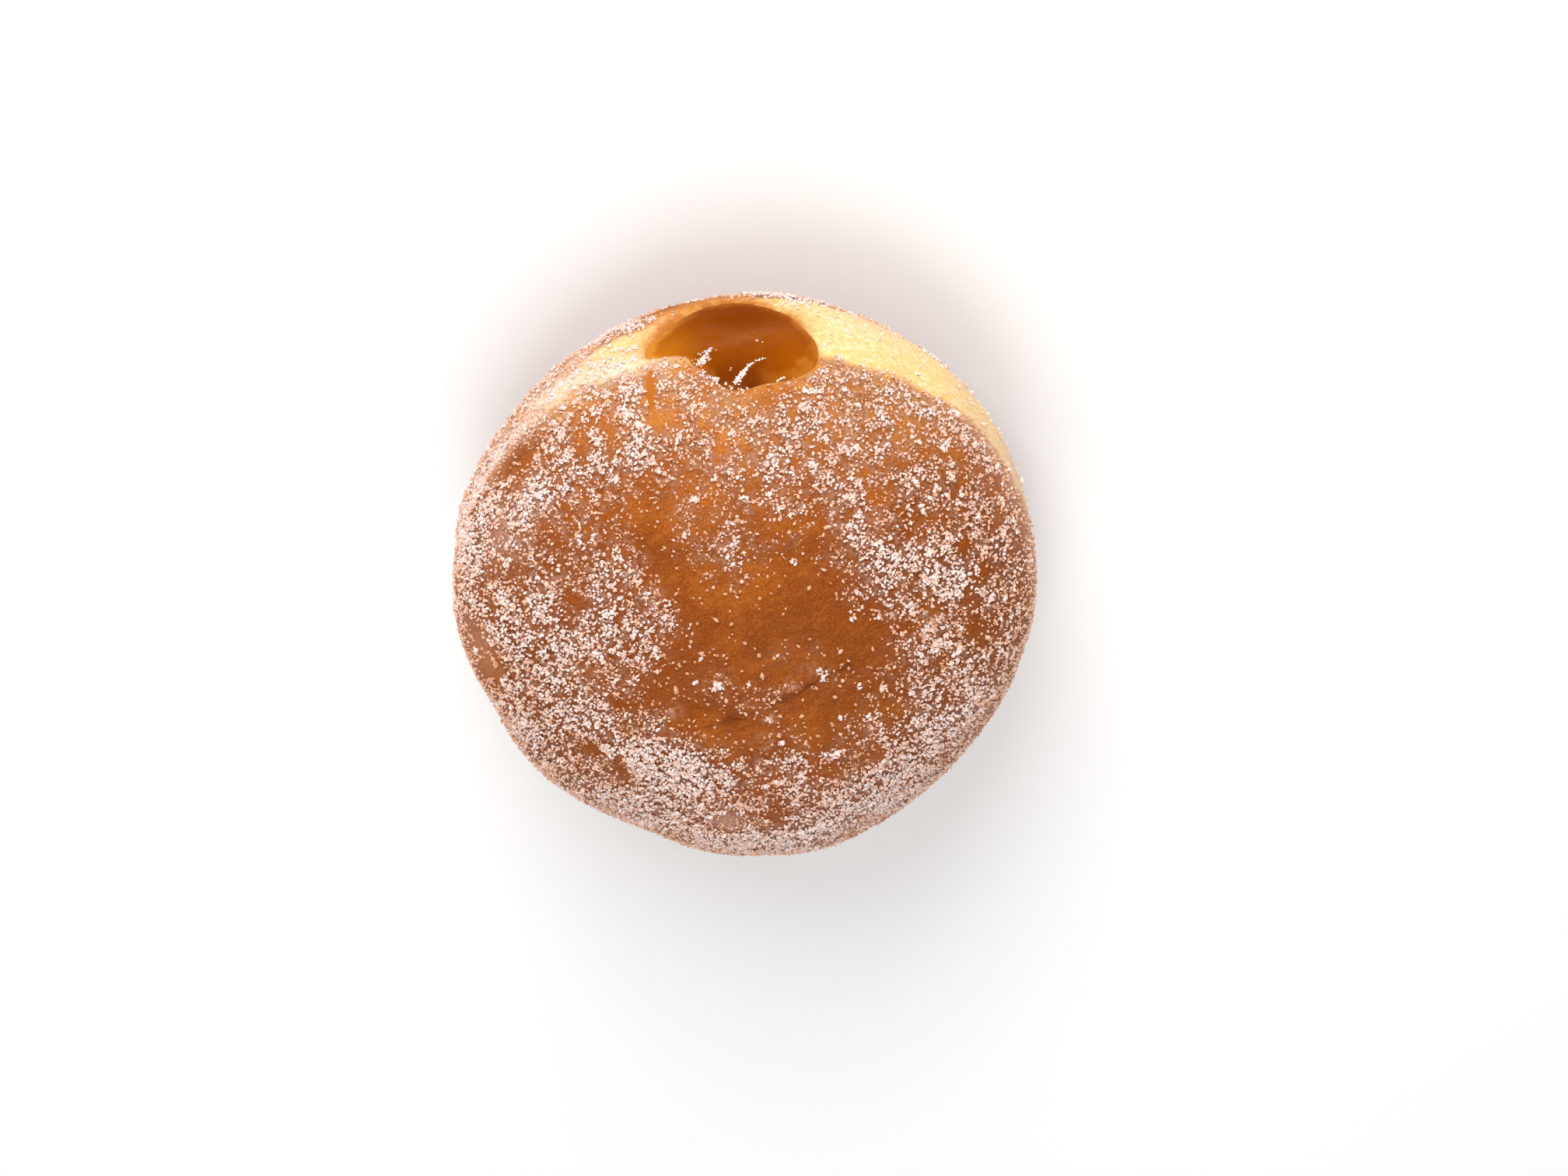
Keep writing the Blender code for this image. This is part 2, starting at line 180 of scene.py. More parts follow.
# How jagged it is, how unevenly it rises, how deep it is let into the crust
FLAKE_JAG = 0.00045
FLAKE_JAG_SIZES = (0.0009, 0.0004)
FLAKE_RISE_SIZE = 0.0016
FLAKE_DEPTH = 0.00030
FLAKE_SUNK = 0.00004
FLAKE_SEED = 80
# The painted shadow in front of it: a dark line, and the softer painted shade round that
CREASE_LINE_STEPS = 60
CREASE_LINE_AHEAD = 0.00035
CREASE_LINE_WIDTH = 0.00036
CREASE_LINE_BREAK = 0.0012
CREASE_LINE_SEED = 95
CREASE_SHADE = 0.62
CREASE_SHADE_BREAK = 0.0026
CREASE_SHADE_PATCHES = (-0.05, 0.45)
CREASE_SHADE_WIDTH = 0.0012
CREASE_LEAST_LEVEL = 0.045
# Height over the heart at which places on the crown are given
CROWN_HEIGHT = 0.029

# Where the sugar lies thick: bearing, climb, spread in degrees, grains per square millimetre
THICK_SUGAR = (
    (-171, 33, 8, 2.0), (-160, 8, 8, 1.4), (-125, -22, 9, 1.6), (-135, 24, 8, 0.8),
    (-100, 22, 6, 0.8), (-85, -30, 8, 1.4), (-35, -34, 7, 1.4), (30, -33, 7, 1.4),
    (80, -28, 8, 1.6), (130, 5, 9, 1.6), (165, -20, 9, 1.6), (150, 28, 8, 0.8), (173, 34, 8, 2.5),
    (-171, 43, 3.5, 0.7), (-170, 52, 4, 0.6), (-162, 36, 6, 1.0), (-160, 57, 4, 1.2),
    (-157, 48, 4, 2.3), (-152, 36, 6, 3.0), (-150, 45, 12, 0.4), (-147, 63, 4, 2.0),
    (-143, 79, 2.5, 1.0), (-142, 40, 7, 2.6), (-141, 28, 5, 2.0), (-130, 42, 6, 1.9),
    (-129, 30, 6, 1.3), (-118, 46, 4, 1.8), (-117, 36, 6, 2.4), (-110, 43, 5, 0.8),
    (-106, 32, 6, 1.8), (-101, 37, 4, 4.6), (-95, 30, 7, 1.3), (-95, 42, 4, 1.8),
    (-81, 43, 6, 1.8), (-75, 17, 5, 0.6), (-74, 47, 3, 0.8), (-72, 26, 4, 0.8),
    (-66, 53, 3.5, 0.7), (-65, 17, 5, 1.9), (-63, 43.5, 4.5, 2.6), (-65.5, 26.5, 2.5, 1.1),
    (-65.5, 30, 4, 1.8), (-62, 34, 6, 2.4), (-60, 9, 5, 0.8), (-58, 20, 3, 0.6),
    (-47, 41, 6, 2.5), (-51, 45, 4, 2.2), (-53, 32, 3.5, 1.8), (-52, 7, 4, 1.0),
    (-46, 14, 5, 2.0), (-44, 9, 4, 1.2), (-40, 47, 4, 0.5), (-36, 11, 4, 1.4), (-40, 25, 4, 0.7),
    (-54, 22, 3, 0.6), (-33, 37, 3.5, 5.3), (-30, 24, 4, 0.5), (-28, 15, 4, 1.4),
    (-28, 11, 3, 1.4), (-28, 40, 3, 1.0), (-28, 33, 4, 0.7), (-27, 21, 3, 0.9), (-22, 33, 3, 1.3),
    (-21, 44.5, 3, 2.0), (-20, 13, 4.5, 1.7), (-14, -11, 3, 2.0), (-8, -9.5, 3, 2.0),
    (-4, -12, 3, 1.6), (-13, 32, 3, 0.6), (-12, 24, 6, 1.3), (-10, 21, 4, 1.4),
    (-6, 33.5, 4.5, 1.6), (-2, 53.5, 3, 1.7), (-1, 34, 3, 1.3), (-1, 45, 5, 1.3), (1, 25, 5, 1.0),
    (3, 51, 3, 1.4), (6, 32.5, 4.5, 1.2), (8, 46, 3, 0.8), (9, 14.5, 4.5, 0.9), (11, 23, 4, 0.8),
    (16, 52, 3.5, 2.0), (16, 30, 4, 0.8), (16, 14, 2, 1.4), (21, 14, 2, 1.6), (22, 18, 3, 2.6),
    (19.2, -6.5, 2.2, 3.0), (22.5, -6.8, 2.0, 3.0), (26.5, -2.8, 1.4, 3.0),
    (29.8, -1.7, 1.2, 2.0), (22.5, 24.5, 3.5, 4.6), (23, 41.5, 3.5, 1.8), (24.5, 31, 3.5, 1.9),
    (28, 12, 4, 0.7), (30, 15, 3, 0.8), (32.5, 24, 4.5, 2.4), (36, 42, 3.5, 2.5),
    (37.5, 14, 2.5, 1.2), (40, 11, 5, 1.8), (40, 60, 3, 0.6), (40, 22.5, 3.5, 2.6),
    (42, 34, 3, 1.6), (42, 17, 3, 0.8), (46.5, 24, 3.5, 2.6), (49, 60, 7, 1.2),
    (47.5, 43, 5, 1.8), (44, 50, 4, 0.9), (49, 18, 2.5, 0.5), (51, 11, 2, 1.0), (52, 21, 5, 2.6),
    (58, 49, 4, 2.8), (57.5, 32.5, 3.5, 1.8), (62, 16, 5, 1.4), (60, 24, 4, 1.6),
    (62, 62, 5, 1.0), (64, 82, 2.5, 1.0), (65, 52, 6, 1.2), (68, 37.5, 4.5, 2.0),
    (71, 15, 6, 2.2), (76, 28, 5, 1.6), (76, 58, 3, 0.5), (78, 43, 8, 1.6), (82, 17, 4, 1.2),
    (82, 24, 3, 2.8), (84, 20.5, 3, 1.5), (84, 30.5, 5, 3.0), (87, 39, 4, 1.2), (94, 56, 5, 1.7),
    (95, 42, 4, 1.0), (97, 29, 4, 2.0), (102, 43, 6, 2.0), (103, 52, 4, 1.4), (104, 62, 4, 0.4),
    (105, 24, 4, 0.6), (109, 49, 5, 2.5), (109.5, 67.5, 4, 2.7), (114, 29, 8, 1.8),
    (119, 67, 4, 3.0), (126, 51, 4.5, 3.4), (128, 56.5, 5, 3.5), (135, 62, 5, 1.2),
    (138, 34, 6, 1.8), (137, 55, 4.5, 2.4), (150, 61.5, 5, 5.2), (148, 56, 6.5, 3.0),
    (149, 46, 5, 1.2), (150, 45, 12, 0.6), (150, 40, 5, 1.0), (154, 34, 6, 1.8),
    (155, 51, 4, 1.6), (166, 58.5, 4.5, 3.0), (170, 47, 5, 0.5), (173, 65, 4, 1.2),
    (180, 48, 3, 1.4), (180, 40, 10, 0.4),
)
# Where browned crust reaches over the waist: bearing, climb, spread in degrees, share
BROWNED = (
    (34, 6.8, 2.6, 0.85), (7, 12, 5, 0.9), (12, 10.5, 3, 0.6), (50, 5, 4, 0.5), (58, -1, 7, 0.75),
    (70, -2, 7, 0.8), (80, 0, 5, 0.5), (74, -3, 3, 0.9), (48, 9, 4, 0.6),
)
# Sugar caught in the pale waist to the left of the mouth, and on the rim under it
WAIST_SUGAR = (
    (7, 13.5, 3, 0.5), (3, 15.5, 2.5, 1.0), (17, 10, 2.5, 1.0), (24, 6, 4, 1.4), (32, 1, 4, 1.4),
    (41, -2, 4, 1.6), (28, 5, 4, 1.2), (36, 4, 5, 1.4), (46, 2, 5, 1.8), (56, 2, 6, 2.0),
    (66, 1, 6, 1.8), (78, 1, 6, 1.4), (-22, 10.3, 2.4, 1.5), (-27, 10.8, 2.4, 1.6),
    (-32, 10.8, 2.4, 2.0), (-37, 11.2, 2.4, 2.0), (-42, 10.5, 2.4, 1.8), (-47, 9.5, 2.4, 1.3),
    (-52, 8.2, 2.4, 0.8), (-57, 7.8, 2.4, 0.5), (30, 7, 3, 1.2), (-8, -11, 5, 1.6),
    (26, -8, 5, 1.4), (120, 0, 9, 0.8), (-170, 0, 9, 0.8),
)
# Where the crust is bare: bearing, climb, spread in degrees, share of the sugar taken away
BARE = (
    (-172.5, 54.5, 4, 0.35), (-173, 41.5, 2.5, 0.6), (-171, 44.5, 3, 0.6), (-164.5, 46, 2.5, 0.7),
    (-163, 73, 4, 0.6), (-156, 47, 2.5, 0.6), (-150, 76, 8, 0.7), (-151, 70, 4.5, 0.95),
    (-138, 53, 5, 0.5), (-125, 63, 5.5, 0.75), (-125, 49, 4.5, 0.75), (-110, 77.5, 4.5, 0.7),
    (-110, 66, 9, 0.7), (-110, 4, 8, 0.6), (-102, 72, 8, 0.97), (-102, 50.5, 3.5, 0.8),
    (-100, 37, 4, 0.6), (-98, 24, 3, 0.3), (-95.5, 32, 3.5, 0.3), (-94, 62, 6, 0.96),
    (-90, 52, 4, 0.5), (-86, 29, 2, 0.9), (-85.5, 40, 4, 0.6), (-85, 26, 3, 0.4),
    (-81, 31, 3, 0.97), (-72, 44, 4, 0.5), (-71, 14, 3, 0.5), (-70, 57, 7, 0.95),
    (-65, 60, 6, 0.6), (-68.5, 24.5, 2.4, 0.98), (-64.5, 50, 3.5, 0.75), (-66, 40, 3, 0.4),
    (-62, 55, 5, 0.6), (-66, 68.5, 4, 0.85), (-61.5, 15, 3, 0.5), (-62, 20, 3, 0.3),
    (-60, 26.5, 2.6, 0.98), (-60, -2, 9, 0.9), (-60, 75.5, 6, 0.98), (-56, 41, 4, 0.4),
    (-51, 56, 4.5, 0.7), (-54.5, 25, 2.5, 0.4), (-47, 15.5, 3, 0.7), (-45, 59, 8, 0.95),
    (-45, 30, 3, 0.5), (-42, 0, 9, 0.9), (-42, 68, 5, 0.8), (-41.5, 13, 3, 0.7),
    (-37, 18, 3, 0.3), (-38, 47, 3, 0.5), (-37, 37, 3, 0.5), (-34, 32, 2.5, 0.6),
    (-30, 54, 5, 0.8), (-28, 62, 8, 0.9), (-25, 3, 9, 0.8), (-25, 48, 4, 0.4),
    (-23.5, 42, 3.4, 0.8), (-23, 14.5, 2.5, 0.5), (-21, 53, 7, 0.85), (-19, 8.5, 3.5, 0.5),
    (-19, 28, 3, 0.45), (-18, 69, 9, 1.0), (-14, 44, 5, 0.52), (-10, 82, 8, 0.97),
    (-5, 44.5, 3.5, 0.7), (-7.5, 56.5, 5.5, 0.8), (-5.6, 17, 3, 0.9), (-4, 21, 2.4, 0.6),
    (-2, 31.5, 3, 0.3), (0, 74.5, 5, 0.7), (3, 40.5, 5, 0.55), (4, 29, 4, 0.3),
    (8.5, 36.5, 4, 0.6), (6, 25, 3, 0.4), (9, 56, 3, 0.6), (10.5, 12.3, 2.8, 0.6),
    (11, 7.5, 3, 0.5), (12.5, -9, 7, 0.95), (12, 33, 4, 0.3), (14, 62, 6, 1.0), (14, 44, 3, 0.4),
    (15, 21.6, 1.6, 0.8), (18, 21.8, 1.8, 0.98), (20, 67, 9, 0.85), (22, 36.5, 5, 0.55),
    (27.5, 35.5, 3.5, 0.7), (24, 53, 6, 0.98), (27, 57, 5, 0.7), (25.3, -6, 1.3, 0.9),
    (28, 23, 3, 0.5), (29.4, -4, 1.3, 0.9), (28, 42, 5.5, 0.99), (30, 48, 4, 0.6),
    (34.5, 6.5, 3, 0.7), (35, 20, 3, 0.4), (35.5, 30.5, 3, 0.4), (35.8, -5.3, 2, 0.9),
    (38, 40, 4, 0.4), (39, 36.5, 3.5, 0.4), (38, 11, 2, 0.4), (40.5, 17, 2.5, 0.3),
    (43, -7, 2, 0.7), (43, 12.5, 2, 0.5), (45, 28, 3, 0.4), (48, 66, 4, 0.7), (48, 14, 3.2, 0.95),
    (50, 74, 9, 0.8), (51.5, 11, 3.4, 0.93), (52.5, 28, 3.5, 0.75), (52.3, 17.7, 2.5, 0.4),
    (55, 39, 3, 0.4), (56.5, 8.5, 2.8, 0.9), (58, 33, 3, 0.4), (60.5, 12, 2, 0.3),
    (61, 20, 2.5, 0.3), (61.5, 41.5, 2.7, 0.9), (65, 28, 3, 0.6), (67, 23.5, 3, 0.5),
    (75, 68, 6, 0.7), (83, 51, 3, 0.4), (-80, 51, 3.5, 0.25), (-81, 17, 3, 0.4), (75, 24, 3, 0.4),
    (86, 29, 3, 0.25), (89.5, 20.5, 4.8, 1.0), (93, 26, 3, 0.9), (97.5, 22, 5, 1.0),
    (93, 66, 5, 0.95), (99, 57, 4, 0.85), (111.5, 57, 3, 0.4), (112, 72, 7, 0.9),
    (120, 44, 3, 0.92), (130, 47, 3, 0.8), (134, 44.5, 2.4, 0.8), (140, 76, 9, 0.9),
    (150, -5, 9, 0.6), (174, 43, 4, 0.8), (178, 78, 6, 0.98),
)
# The run of filling down the crust: where it is to the side, its slant, levels, half width
DRIP_SIDE = 0.0132
DRIP_SLANT = -0.06
DRIP_FROM = 0.0082
DRIP_TO = 0.0152
DRIP_HALF_WIDTH = 0.00090
# How it begins and ends, and how far its sides stray
DRIP_START = (-0.0008, 0.0006)
DRIP_END = 0.0016
DRIP_STRAY = 0.00018
DRIP_STRAY_SIZE = 0.0011
DRIP_SEED = 55
DRIP_EDGE = (1.3, 0.5)
# Where finest sugar lies as a creamy veil: bearing, climb, spread in degrees, share
VEILS = (
    (17, 9.5, 3, 0.7), (21, 8.0, 3, 0.9), (25, 6.0, 3.5, 1.0), (30, 3.5, 4, 1.0),
    (35, 1.5, 4, 1.0), (40, -0.5, 4, 1.0), (45, -2.0, 4, 0.9), (-8, 6, 3, 0.3),
    (-20, -3, 6, 0.25),
)
# Where filling has stained the crust: bearing, climb, spread in degrees, share
STAINS = ((-4, 20, 2.6, 0.9), (-9, 18.5, 2.0, 0.6), (10, 18, 2.5, 0.3), (17, 9.5, 2.2, 0.4))
# Where finest sugar lies as a rosy haze over crust and waist: the same four values
# It is also painted shade on the waist left of the mouth and painted sheen on the far side's slopes
HAZE_SHADE_AND_SHEEN = (
    (44, 5, 4, 0.8), (50, 2, 5, 0.95), (58, 0, 6, 0.95), (66, -1, 6, 0.95), (74, -2, 7, 0.9),
    (84, 2, 6, 0.6), (92, 20, 7, 0.16), (174, 43, 4, 0.4), (52, 22, 4, 0.25), (62, 20, 6, 0.25),
    (34, -6, 5, 0.7), (24, -7, 4, 0.3), (-52, 3, 7, 0.35), (-62, 0, 8, 0.6), (-74, 0, 9, 0.7),
    (-45, -8, 6, 0.4), (150, 30, 12, 0.25), (-150, 28, 12, 0.35), (180, 28, 12, 0.25),
    (-112, 24, 10, 0.25), (-28, -12, 9, 0.4),
)
# Where finest sugar lies in broken patches on the crown: the same four values
BROKEN_FILMS = (
    (107, 69, 2.6, 0.7), (-81.7, 76.6, 2.0, 1.0), (-141.7, 78.0, 1.8, 0.95),
    (-74.0, 67.0, 1.4, 0.6), (119, 57, 3.0, 0.8), (-95, 79, 3.0, 0.5), (60, 82, 4.0, 0.5),
    (-40, 74, 4.0, 0.2), (-68, 70, 3.0, 0.3), (-160, 72, 3.5, 0.5),
)
# Grains for each square millimetre of crust, their share on the waist, how pale the crust is where
# they fade, and those scattered everywhere
SUGAR_BASE = 2.95
SUGAR_ON_WAIST = 0.10
SUGAR_FADES = (0.35, 0.95)
SUGAR_SCATTERED = 0.05
# How much less sugar lies on the underside and on crust soaked with filling
UNDERSIDE_CLEARS = 0.5
UNDERSIDE_LEVELS = (0.004, 0.002)
GOLDEN_CLEARS = 0.9
# How the grains gather: size of the clumps and how strongly, and the least that is left
CLUSTERS = ((0.0026, 0.576), (0.0010, 0.736))
CLUSTER_SEED = 70
CLUSTER_LEAST = 0.12
# Grains for each square millimetre from which the crust is dusted, and how deep its inside lies
# Where it is dusted the crust is also darkened, as painted shade between the grains
DUSTED = (0.3, 4.8)
INSIDE_DEPTH = (0.0025, 0.004)
# How many places are tried for grains, and the steps in radians that find which way they face
CANDIDATES = 560000
PLAIN_STEP = 0.004
DOUGH_STEP = 0.008
# Where grains lie over the mouth's edge on the filling: turn, spread of turn, reach in degrees
SPILLS = ((30.0, 24.0, 3.0), (80.0, 22.0, 1.2), (125.0, 20.0, 0.8))
# Degrees inside and outside the mouth's edge between which the sugar begins
EDGE_FADES = (-0.2, 0.4)
# Single large pieces of sugar on the crown: X, Y, half sizes in mm, turn in degrees, grains
LARGE_BITS = (
    (3.6, -1.6, 0.55, 0.16, 50.0, 22), (3.5, -1.5, 0.50, 0.14, -40.0, 18),
    (-11.8, -2.4, 0.44, 0.18, 70.0, 15), (-11.2, -3.8, 0.34, 0.12, 75.0, 8),
    (-0.8, -1.6, 0.28, 0.12, 80.0, 7), (-3.8, 5.0, 0.40, 0.16, -40.0, 12),
    (6.0, -6.4, 0.26, 0.08, 85.0, 5), (-5.2, -6.6, 0.24, 0.08, 10.0, 4),
    (-17.6, -0.6, 0.30, 0.12, 80.0, 7), (7.0, -2.0, 0.22, 0.12, 0.0, 7),
    (-14.6, 5.2, 0.24, 0.12, 70.0, 6), (-5.6, 9.2, 0.26, 0.16, 20.0, 8),
)
# Small heaps: their share of the grains' places, grains in each, spread and height in metres
HEAP_SHARE = 0.022
HEAP_GRAINS = 9
HEAP_SPREAD = 0.00042
HEAP_HEIGHT = 0.00040
SUGAR_SEED = 3
# Length of a grain in metres and how much it varies
GRAIN_LENGTH = (0.00046, 0.24)
# Where little sugar lies, how much fewer and larger the grains are
LONE_BELOW = (0.15, 1.3)
LONE_CLEARS = 0.60
LONE_GROWTH = 0.75
# How much larger white grains are, a grain's other two sizes, its skew, how far it stands out
GRAIN_WHITE_GROWTH = 0.42
GRAIN_MIDDLE = 0.78
GRAIN_THIN = 0.62
GRAIN_OTHERS_VARY = (0.8, 1.2)
GRAIN_SKEW = 0.22
GRAIN_STANDS = (-0.05, 0.60)
# Grains for each square millimetre from which they pile up, and from which they look whiter
PILED = (2.6, 5.0)
PILE_HEIGHT = 0.00035
WHITENED = (0.8, 6.0)
# Kinds of sugar, from clear single crystals to white heaps, each with its colour
SUGAR_KINDS = (
    ("sugar_clear", (0.74, 0.40, 0.23)),
    ("sugar_pale", (0.86, 0.53, 0.39)),
    ("sugar_light", (0.90, 0.64, 0.53)),
    # the white kind also holds the grains painted as highlights on the filling
    ("sugar_white_and_glints", (0.90, 0.745, 0.695)),
)
# Grains lie no nearer to the floor than this
FLOOR_CLEARANCE = 0.0006

# Half the width of the floor, light of the whole room, and the lamps: place and size in metres,
# power in watts
FLOOR_REACH = 3.0
ROOM_LIGHT = 0.45
LAMPS = (
    ("key", (0.15, -0.73, 0.60), 0.45, 4.7),
    ("front", (0.02, -0.80, 0.32), 0.45, 2.35),
    ("top", (0.14, 0.20, 0.95), 0.60, 2.6),
    ("back", (-0.20, 0.75, 0.45), 0.60, 1.2),
)

# The camera of the photograph, whose frame is 2016 by 1512 pixels
PHOTO_WIDTH = 2016
PHOTO_HEIGHT = 1512
PIXELS_PER_METRE = 8440.0
MIDDLE_PIXEL = (957.0, 750.0)
CAMERA_TILT = 33.0
CAMERA_DISTANCE = 0.470
CAMERA_CLIP = (0.01, 20.0)
SENSOR = 36.0


def unit(vectors):
    """The vectors at length 1."""
    return vectors / np.linalg.norm(vectors, axis=-1, keepdims=True)


def eased(share):
    """A share from 0 to 1 with a soft start and end."""
    return share * share * (3.0 - 2.0 * share)


def smooth_step(low, high, value):
    """A share that rises smoothly from 0 at the low value to 1 at the high one."""
    return eased(np.clip((value - low) / (high - low), 0.0, 1.0))


def turn_between(bearing, other):
    """The turn from one bearing to another, from -180 to 180 degrees."""
    return (bearing - other + 180.0) % 360.0 - 180.0


def round_curve(points, bearing):
    """A smooth closed curve through points of bearing and value, read at any bearing."""
    knots, values = np.array(points).T
    spans = (np.roll(knots, -1) - np.roll(knots, 1)) % 360.0
    slopes = (np.roll(values, -1) - np.roll(values, 1)) / spans
    turned = (bearing - knots[0]) % 360.0
    first = np.searchsorted(knots - knots[0], turned, side="right") - 1
    second = (first + 1) % len(knots)
    span = (knots[second] - knots[first]) % 360.0
    share = (turned - (knots[first] - knots[0])) / span
    left = values[first] + slopes[first] * span * share
    right = values[second] - slopes[second] * span * (1.0 - share)
    blend = eased(share)
    return left * (1.0 - blend) + right * blend


def lattice(cells, seed):
    """A repeatable number from 0 to 1 for each cell of a grid."""
    mixed = cells[..., 0] * 73856093 ^ cells[..., 1] * 19349663 ^ cells[..., 2] * 83492791
    mixed = (mixed ^ (seed * 2654435761)) & 0xFFFFFFFF
    mixed = ((mixed ^ (mixed >> 15)) * 2246822519) & 0xFFFFFFFF
    mixed = ((mixed ^ (mixed >> 13)) * 3266489917) & 0xFFFFFFFF
    return (mixed ^ (mixed >> 16)) / 4294967295.0


def noise(points, size, seed):
    """Smooth unevenness from -1 to 1 at a size in metres."""
    scaled = points / size + seed * 0.37
    cells = np.floor(scaled).astype(np.int64)
    share = scaled - cells
    share = share * share * share * (share * (share * 6.0 - 15.0) + 10.0)
    total = np.zeros(points.shape[:-1])
    for corner in range(8):
        step = np.array([corner & 1, corner >> 1 & 1, corner >> 2 & 1])
        weight = np.prod(np.where(step == 1, share, 1.0 - share), axis=-1)
        total += weight * lattice(cells + step, seed)
    return total * 2.0 - 1.0


def unevenness(points, sizes, seed):
    """Noises of several sizes and heights added up."""
    return sum(height * noise(points, size, seed + number)
               for number, (size, height) in enumerate(sizes))


def towards(bearing, climb):
    """The direction of a bearing and a climb, in degrees."""
    turn = np.radians(bearing)
    rise = np.radians(climb)
    flat = np.cos(rise)
    return np.stack([flat * np.sin(turn), -flat * np.cos(turn), np.sin(rise)], axis=-1)


def bearing_of(directions):
    """The bearing of each direction in degrees, from -Y towards +X."""
    return np.degrees(np.arctan2(directions[..., 0], -directions[..., 1]))


def knobs():
    """The places, spreads and heights of the gentle unevenness."""
    draw = random.Random(KNOB_SEED)
    for _ in range(KNOB_COUNT):
        climb = math.degrees(math.asin(draw.uniform(-1.0, 1.0)))
        bearing = draw.uniform(-180.0, 180.0)
        spread = draw.uniform(*KNOB_SPREAD)
        yield towards(bearing, climb), spread, draw.uniform(-KNOB_HEIGHT, KNOB_HEIGHT)


def hill(directions, place, spread):
    """A round hill of height 1 about a place, whose spread is in degrees."""
    near = np.clip(directions @ place, -1.0, 1.0)
    return np.exp(-(np.degrees(np.arccos(near)) / spread) ** 2)


def hills(directions, places):
    """Hills of given bearing, climb, spread and height added up."""
    return sum(height * hill(directions, towards(at, climb), spread)
               for at, climb, spread, height in places)


def cleared(directions, places):
    """What hills of given bearing, climb, spread and share leave of 1."""
    left = 1.0
    for at, climb, spread, share in places:
        left = left * (1.0 - share * hill(directions, towards(at, climb), spread))
    return left


def band_pinch(bearing, level):
    """How deep the pale waist is drawn in at a bearing and a level."""
    top = round_curve(BAND_TOP, bearing)
    low = round_curve(BAND_LOW, bearing)
    off = (level - (top + low) / 2) / ((top - low) / 2)
    inside = np.clip(1.0 - (off / PINCH_REACH) ** 2, 0.0, 1.0)
    return round_curve(BAND_PINCH, bearing) * inside ** PINCH_POWER


def plain_reach(directions):
    """The distance from the heart to the plain rounded form along each direction."""
    bearing = bearing_of(directions)
    plan = 1.0
    for count, share, at in LOBES:
        plan = plan + share * np.cos(np.radians(count * (bearing - at)))
    across = np.hypot(directions[..., 0] / (WIDTH / 2), directions[..., 1] / (LENGTH / 2)) / plan
    rising = directions[..., 2] >= 0
    power = np.where(rising, CROWN_POWER, BASE_POWER)
    height = np.where(rising, CROWN_RISE, BASE_DROP)
    return (across ** power + (np.abs(directions[..., 2]) / height) ** power) ** (-1.0 / power)


def plain_surface(directions):
    """Points of the plain rounded form, measured from the heart."""
    return directions * plain_reach(directions)[..., None]


def reach(directions):
    """The distance from the heart to the dough's surface along each direction."""
    bearing = bearing_of(directions)
    plain = plain_reach(directions)
    level = plain * directions[..., 2]
    full = plain - band_pinch(bearing, level)
    for at, wide, high, tall, amount in SWELLS:
        aside = turn_between(bearing, at) / wide
        above = (level - high) / tall
        full = full + amount * np.exp(-aside ** 2 - above ** 2)
    full = full - hills(directions, DIPS)
    for place, spread, amount in knobs():
        full = full + amount * hill(directions, place, spread)
    return full


def heart():
    """The middle of the waist, from which the form is measured."""
    return np.array([CENTRING[0], CENTRING[1], WAIST_LEVEL])


def placed(directions, distances):
    """Points at distances from the heart, none of them below the floor."""
    to_floor = WAIST_LEVEL / np.maximum(-directions[..., 2], TINY)
    points = heart() + directions * np.minimum(distances, to_floor)[..., None]
    points[..., 2] = np.where(points[..., 2] < TINY, 0.0, points[..., 2])
    return points


def mouth_axes():
    """The mouth's outward axis, the side axis near +X and the axis near +Z."""
    out = unit(np.array(MOUTH_MIDDLE))
    side = np.array([1.0, 0.0, 0.0])
    side = unit(side - (side @ out) * out)
    return out, side, np.cross(out, side)


def around_mouth(turns, angles):
    """Directions at angles from the mouth's axis, at turns round it."""
    out, side, above = mouth_axes()
    turn = np.radians(turns)[..., None]
    angle = np.radians(angles)[..., None]
    return np.cos(angle) * out + np.sin(angle) * (np.cos(turn) * side + np.sin(turn) * above)


def beyond_mouth(directions):
    """How many degrees each direction lies outside the mouth's edge, and its turn round it."""
    out, side, above = mouth_axes()
    angle = np.degrees(np.arccos(np.clip(directions @ out, -1.0, 1.0)))
    turn = np.degrees(np.arctan2(directions @ above, directions @ side))
    return angle - round_curve(MOUTH_EDGE, turn), turn


def relief(directions):
    """The fine unevenness of the crust and the crease over the crown."""
    flat = plain_surface(directions)
    wander = CREASE_WANDER * noise(flat, CREASE_WANDER_SIZE, CREASE_SEED)
    off = flat[..., 1] - (CREASE_Y + CREASE_SLOPE * flat[..., 0] + wander)
    along = smooth_step(CREASE_FROM - CREASE_END, CREASE_FROM + CREASE_END, flat[..., 0])
    along = along * smooth_step(CREASE_TO + CREASE_END, CREASE_TO - CREASE_END, flat[..., 0])
    drop = smooth_step(-CREASE_SOFTNESS, CREASE_SOFTNESS, off)
    drop = drop * np.exp(-np.maximum(off, 0.0) / CREASE_FADE)
    strength = 0.55 + 0.45 * noise(flat, CREASE_BREAK_SIZE, CREASE_SEED + 1)
    crown = smooth_step(*CREASE_LEVELS, flat[..., 2])
    uneven = unevenness(flat, RELIEF, RELIEF_SEED)
    return uneven - CREASE_DROP * strength * drop * along * crown


def dough_surface(directions):
    """The finished outside of the dough, rolled in at the mouth's lip."""
    full = reach(directions)
    outside, _ = beyond_mouth(directions)
    beyond = np.radians(np.maximum(outside, 0.0)) * full
    lip = LIP_DROP * np.clip(1.0 - beyond / LIP_WIDTH, 0.0, 1.0) ** 2
    calm = smooth_step(0.0, LIP_CALM, beyond) * smooth_step(*BASE_CALM, full * directions[..., 2])
    uneven = relief(directions) - hills(directions, HOLLOWS)
    return placed(directions, full - lip + calm * uneven)


def ring_turns(sectors):
    """Turns in degrees of the corners round a ring."""
    return np.arange(sectors) * (360.0 / sectors)


